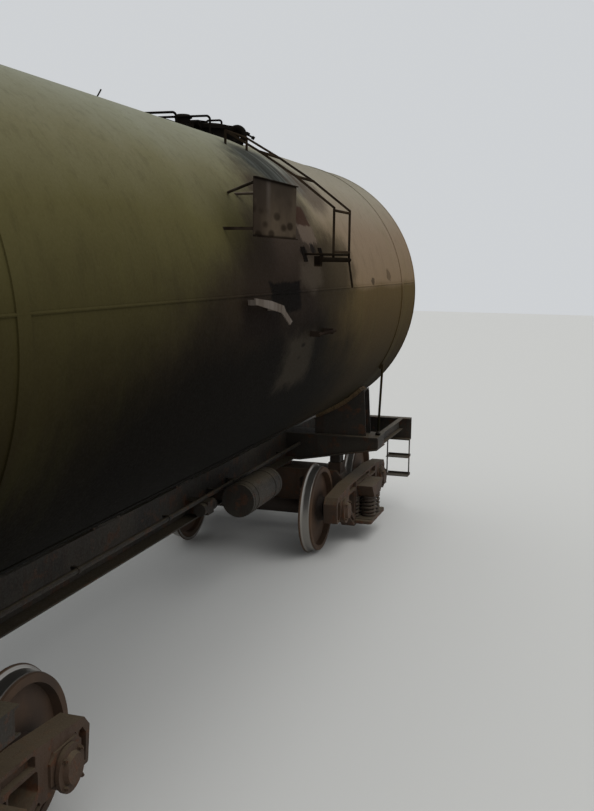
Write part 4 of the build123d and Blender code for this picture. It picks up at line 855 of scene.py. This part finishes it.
def coil(radius, wire, turns, steps, sides):
    """The mesh of one coil spring with flat end turns, round its own axis."""
    shape = bmesh.new()
    low = SEAT_Z + BASE_THICKNESS + wire
    climb = SPRING_TOP_Z - wire - low
    upright = Matrix.Translation((radius, 0, low)) @ Matrix.Rotation(pi / 2, 4, "X")
    bmesh.ops.create_circle(shape, cap_ends=True, segments=sides, radius=wire, matrix=upright)
    section = shape.verts[:] + shape.edges[:] + shape.faces[:]
    stages = (  # turns, climb
        (FLAT_TURNS, 0.0),
        (turns, climb),
        (FLAT_TURNS, 0.0),
    )
    for length, rise in stages:
        count = round(length * steps)
        made = bmesh.ops.spin(shape, geom=section, cent=(0, 0, 0), axis=(0, 0, 1), dvec=(0, 0, rise / count),
                              angle=length * 2 * pi, steps=count, use_merge=False, use_duplicate=False)
        section = made["geom_last"]
    data = bpy.data.meshes.new("coil")
    shape.to_mesh(data)
    shape.free()
    return data


coils = [coil(*row) for row in COILS]
print("coils with", [len(data.polygons) for data in coils], "faces")

# %% [markdown]
# A nest stands in the window of each side frame: seven pairs of coils on a thin plate, and a friction
# wedge at each side, which is an outline pushed across the car. The nests replace plain round blocks,
# and take their plates and wedges along.

# %% Spring nests
SIDE_FRAME_Y = 1.018
SPRING_PITCH = 0.208
SPRING_ROW = 0.176
PLATE_MARGIN = 0.09
NEST = ((-0.5, -1), (0.5, -1), (-1, 0), (0, 0), (1, 0), (-0.5, 1), (0.5, 1))  # pitches, rows
WEDGE_OUTLINE = ((0.1636, 0.5), (0.3177, 0.5), (0.3177, 0.63), (0.275, 0.63))  # from the middle, height
WEDGE_HALF_WIDTH = 0.065


def wedge(shape, middle_x, y, turn):
    """One friction wedge, in front of the bolster or behind it."""
    corners = [shape.verts.new((middle_x + turn * px, y - WEDGE_HALF_WIDTH, pz)) for px, pz in WEDGE_OUTLINE]
    grown = bmesh.ops.extrude_face_region(shape, geom=[shape.faces.new(corners)])
    far_side = [item for item in grown["geom"] if isinstance(item, bmesh.types.BMVert)]
    bmesh.ops.translate(shape, verts=far_side, vec=(0, 2 * WEDGE_HALF_WIDTH, 0))


def nest(shape, middle_x, y):
    """The plate, coils and wedges of one side."""
    reach_x = SPRING_PITCH + PLATE_MARGIN
    reach_y = SPRING_ROW + PLATE_MARGIN
    plate_top = SEAT_Z + BASE_THICKNESS
    plate(shape, (middle_x - reach_x, y - reach_y, SEAT_Z), (middle_x + reach_x, y + reach_y, plate_top))
    for pitches, rows in NEST:
        there = Matrix.Translation((middle_x + pitches * SPRING_PITCH, y + rows * SPRING_ROW, 0))
        for data in coils:
            data.transform(there)
            shape.from_mesh(data)
            data.transform(there.inverted())
    for turn in (-1, 1):
        wedge(shape, middle_x, y, turn)


for end, middle_x in (("front", -BOGIE_X), ("rear", BOGIE_X)):
    nests = bmesh.new()
    for side in (-1, 1):
        nest(nests, middle_x, side * SIDE_FRAME_Y)
    piece = added(nests, f"{end}_spring_nests", "spring_steel", f"{end}_bogie")
    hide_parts(f"{end}_bogie_springs")
for data in coils:
    bpy.data.meshes.remove(data)

# %% [markdown]
# Bolts and rivets are small, but they tell the eye how big the rest is. They sit where two pieces are
# held together: on the axle boxes' covers, the relief valve's flange, the straps' feet, the cylinder's
# cover and the end beams.

# %% Bolts on the bogies
BOX_FACE_Y = 1.140
COVER_BOLT_R = 0.112
for end, middle_x in (("front", -BOGIE_X), ("rear", BOGIE_X)):
    bolts = bmesh.new()
    for axle_x in (middle_x - HALF_WHEELBASE, middle_x + HALF_WHEELBASE):
        for side in (-1, 1):
            centre = (axle_x, side * BOX_FACE_Y, AXLE_Z)
            bolt_ring(bolts, centre, (0, side, 0), COVER_BOLT_R, count=4, start=45, width=0.026)
    added(bolts, f"{end}_box_cover_bolts", "cast_steel", f"{end}_bogie")

# %% [markdown]
# Eight bolts hold the relief valve on its flange, and a large nut pulls down each foot of the tank's
# straps. An array modifier could repeat the bolts, but a loop over angles needs no helper object, and
# all the bolts of a ring end up in one mesh.

# %% Bolts on the tank
VALVE_LOW, VALVE_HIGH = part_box("relief_valve")
VALVE_X = (VALVE_LOW.x + VALVE_HIGH.x) / 2
VALVE_FLANGE_HEIGHT = 0.08
VALVE_FLANGE_Z = TANK_HIGH.z + VALVE_FLANGE_HEIGHT
VALVE_BOLT_R = 0.082
STRAP_NUT_Y = 1.26
STRAP_FOOT_Z = 1.234
STRAP_NUT_WIDTH = 0.036
bolts = bmesh.new()
bolt_ring(bolts, (VALVE_X, 0, VALVE_FLANGE_Z), (0, 0, 1), VALVE_BOLT_R, count=8, start=22.5, width=0.02)
added(bolts, "valve_bolts", "black_fitting", "car")

bolts = bmesh.new()
for middle_x in (-BOGIE_X, BOGIE_X):
    for side in (-1, 1):
        bolt(bolts, (middle_x, side * STRAP_NUT_Y, STRAP_FOOT_Z), (0, 0, 1), STRAP_NUT_WIDTH)
added(bolts, "strap_nuts", "frame_paint", "car")

# %% [markdown]
# The end beams and the strikers are riveted to the sills in rows, and six bolts hold the cover of the
# brake cylinder. Each row is a list of places. Loops repeat the rows at both ends and on both sides, so
# that one list serves all four corners.

# %% Rivets and bolts on the frame
FRAME_END_X = 5.4
SILL_TOP_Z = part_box("centre_sill")[1].z
BEAM_RIVET_YS = (0.42, 0.62, 0.82, 1.02, 1.22)
BEAM_RIVET_DROPS = (0.035, 0.255)
STRIKER_RIVET_Y = 0.21
STRIKER_RIVET_ZS = (1.0, 1.05, 1.1, 1.15)
CYLINDER_COVER = (-1.238, 0.52, 1.0)
CYLINDER_BOLT_R = 0.185
spots = [(y, SILL_TOP_Z - drop) for y in BEAM_RIVET_YS for drop in BEAM_RIVET_DROPS]
spots += [(STRIKER_RIVET_Y, z) for z in STRIKER_RIVET_ZS]
rivets = bmesh.new()
for end in (-1, 1):
    for side in (-1, 1):
        for y, z in spots:
            rivet(rivets, (end * FRAME_END_X, side * y, z), (end, 0, 0))
added(rivets, "end_beam_rivets", "frame_paint", "car")

bolts = bmesh.new()
bolt_ring(bolts, CYLINDER_COVER, (1, 0, 0), CYLINDER_BOLT_R, count=6, start=0, width=0.022)
added(bolts, "cylinder_bolts", "frame_paint", "car")

# %% [markdown]
# A bar that is welded to the barrel never stands on the thin sheet itself but on a pad, a small plate
# that spreads its load. The pads sit where the ladders' stays meet the barrel, turned to its round side.

# %% Pads on the barrel
PAD_THICKNESS = 0.005
PAD_WIDTH = 0.1
PAD_HEIGHT = 0.12
PAD_BEVEL = 0.003
PADS = (  # place along the car, angle above the middle, sides of the car
    (0.188, 16.5, (-1, 1)),
    (0.672, 16.5, (-1, 1)),
    (0.188, -21.8, (1,)),
    (0.672, -21.8, (1,)),
)


def pad(shape, x, side, angle):
    """A small plate on the barrel, flat against its round side."""
    _, near_y, z = on_side(x, angle)
    turn = radians(angle)
    outwards = Vector((0, side * cos(turn), sin(turn)))
    across = Vector((1, 0, 0))
    up = outwards.cross(across)
    stand = Matrix((across, up, outwards)).transposed().to_4x4()
    at = Matrix.Translation((x, -side * near_y, z))
    sizes = Matrix.Diagonal((PAD_WIDTH, PAD_HEIGHT, 2 * PAD_THICKNESS, 1))
    made = bmesh.ops.create_cube(shape, size=1, matrix=at @ stand @ sizes)
    edges = list({edge for vert in made["verts"] for edge in vert.link_edges})
    bmesh.ops.bevel(shape, geom=edges, offset=PAD_BEVEL, offset_type="OFFSET", segments=1, profile=0.5,
                    affect="EDGES", material=-1)


pads = bmesh.new()
for x, angle, sides in PADS:
    for side in sides:
        pad(pads, x, side, angle)
added(pads, "barrel_pads", "black_fitting", "car")

# %% [markdown]
# The air reservoir is rolled and welded too, and two bands hold it to its hangers. Each ring is a
# small outline spun round the reservoir's axis. The brake pipe hangs in clamps made in the same way.

# %% Bands and clamps
RESERVOIR = (-0.56, 1.0, 0.16)  # across the car, height, radius
PIPE = (-0.342, 1.08, 0.021)
BAND_SINK = 0.002
BANDS = (  # place along the car, half width, thickness
    (1.25, 0.025, 0.005),
    (1.75, 0.025, 0.005),
    (1.13, 0.005, 0.003),
    (1.87, 0.005, 0.003),
)
CLAMP_XS = (-3.0, -1.5, 0.0, 1.5, 3.0)
CLAMP_RING = (0.018, 0.006)  # half width, thickness
TAB_HALF = 0.015
TAB_YS = (-0.345, -0.295)
TAB_ZS = (1.085, 1.105)


def hoop(shape, x, axis_y, axis_z, radius, half_width, thickness):
    """A flat band round an axis along the car."""
    low, high = radius - BAND_SINK, radius + thickness
    outline = ((-half_width, low), (half_width, low), (half_width, high), (-half_width, high))
    points = [shape.verts.new((x + px, axis_y, axis_z + pz)) for px, pz in outline]
    sides = [shape.edges.new((points[index], points[index - 1])) for index in range(4)]
    bmesh.ops.spin(shape, geom=points + sides, cent=(x, axis_y, axis_z), axis=(1, 0, 0), angle=2 * pi,
                   steps=32, use_merge=True, use_duplicate=False)


bands = bmesh.new()
for x, half_width, thickness in BANDS:
    hoop(bands, x, *RESERVOIR, half_width, thickness)
for x in CLAMP_XS:
    hoop(bands, x, *PIPE, *CLAMP_RING)
    plate(bands, (x - TAB_HALF, TAB_YS[0], TAB_ZS[0]), (x + TAB_HALF, TAB_YS[1], TAB_ZS[1]))
added(bands, "bands_and_clamps", "frame_paint", "car")

# %% [markdown]
# The car stands on a plain pale floor. One square is enough, if it is so large that its edge passes for
# the horizon. The floor isn't part of the car.

# %% Floor
FLOOR_SIZE = 120
floor_mesh = bmesh.new()
bmesh.ops.create_grid(floor_mesh, x_segments=1, y_segments=1, size=FLOOR_SIZE / 2)
floor_data = bpy.data.meshes.new("floor")
floor_mesh.to_mesh(floor_data)
floor_mesh.free()
floor = bpy.data.objects.new("floor", floor_data)
bpy.context.scene.collection.objects.link(floor)
floor_material, _, floor_surface = shader("floor", roughness=0.9)
floor_surface.inputs["Base Color"].default_value = colour(205, 204, 200)
floor_data.materials.append(floor_material)
print("floor", FLOOR_SIZE, "m wide")

# %% [markdown]
# Under a cloudy sky light comes from all sides, and a little more of it from above. A plain pale
# background gives the even part. A sun lamp as wide as 60 degrees adds the rest, with shadows so soft
# that they only darken the floor under the car. An area lamp could do it too, but a very large one.

# %% Light
SKY_STRENGTH = 0.8
SUN_ENERGY = 1.1
SUN_SIZE = radians(60)
SUN_TURN = (radians(18), radians(-12), 0)
world = bpy.data.worlds.new("sky")
world.use_nodes = True
sky = world.node_tree.nodes["Background"]
sky.inputs["Color"].default_value = colour(228, 231, 234)
sky.inputs["Strength"].default_value = SKY_STRENGTH
bpy.context.scene.world = world
sun_data = bpy.data.lights.new("sun", "SUN")
sun_data.energy = SUN_ENERGY
sun_data.angle = SUN_SIZE
sun = bpy.data.objects.new("sun", sun_data)
sun.rotation_euler = SUN_TURN
bpy.context.scene.collection.objects.link(sun)
bpy.context.scene.view_settings.view_transform = "Standard"
print("sky", SKY_STRENGTH, "sun", SUN_ENERGY)
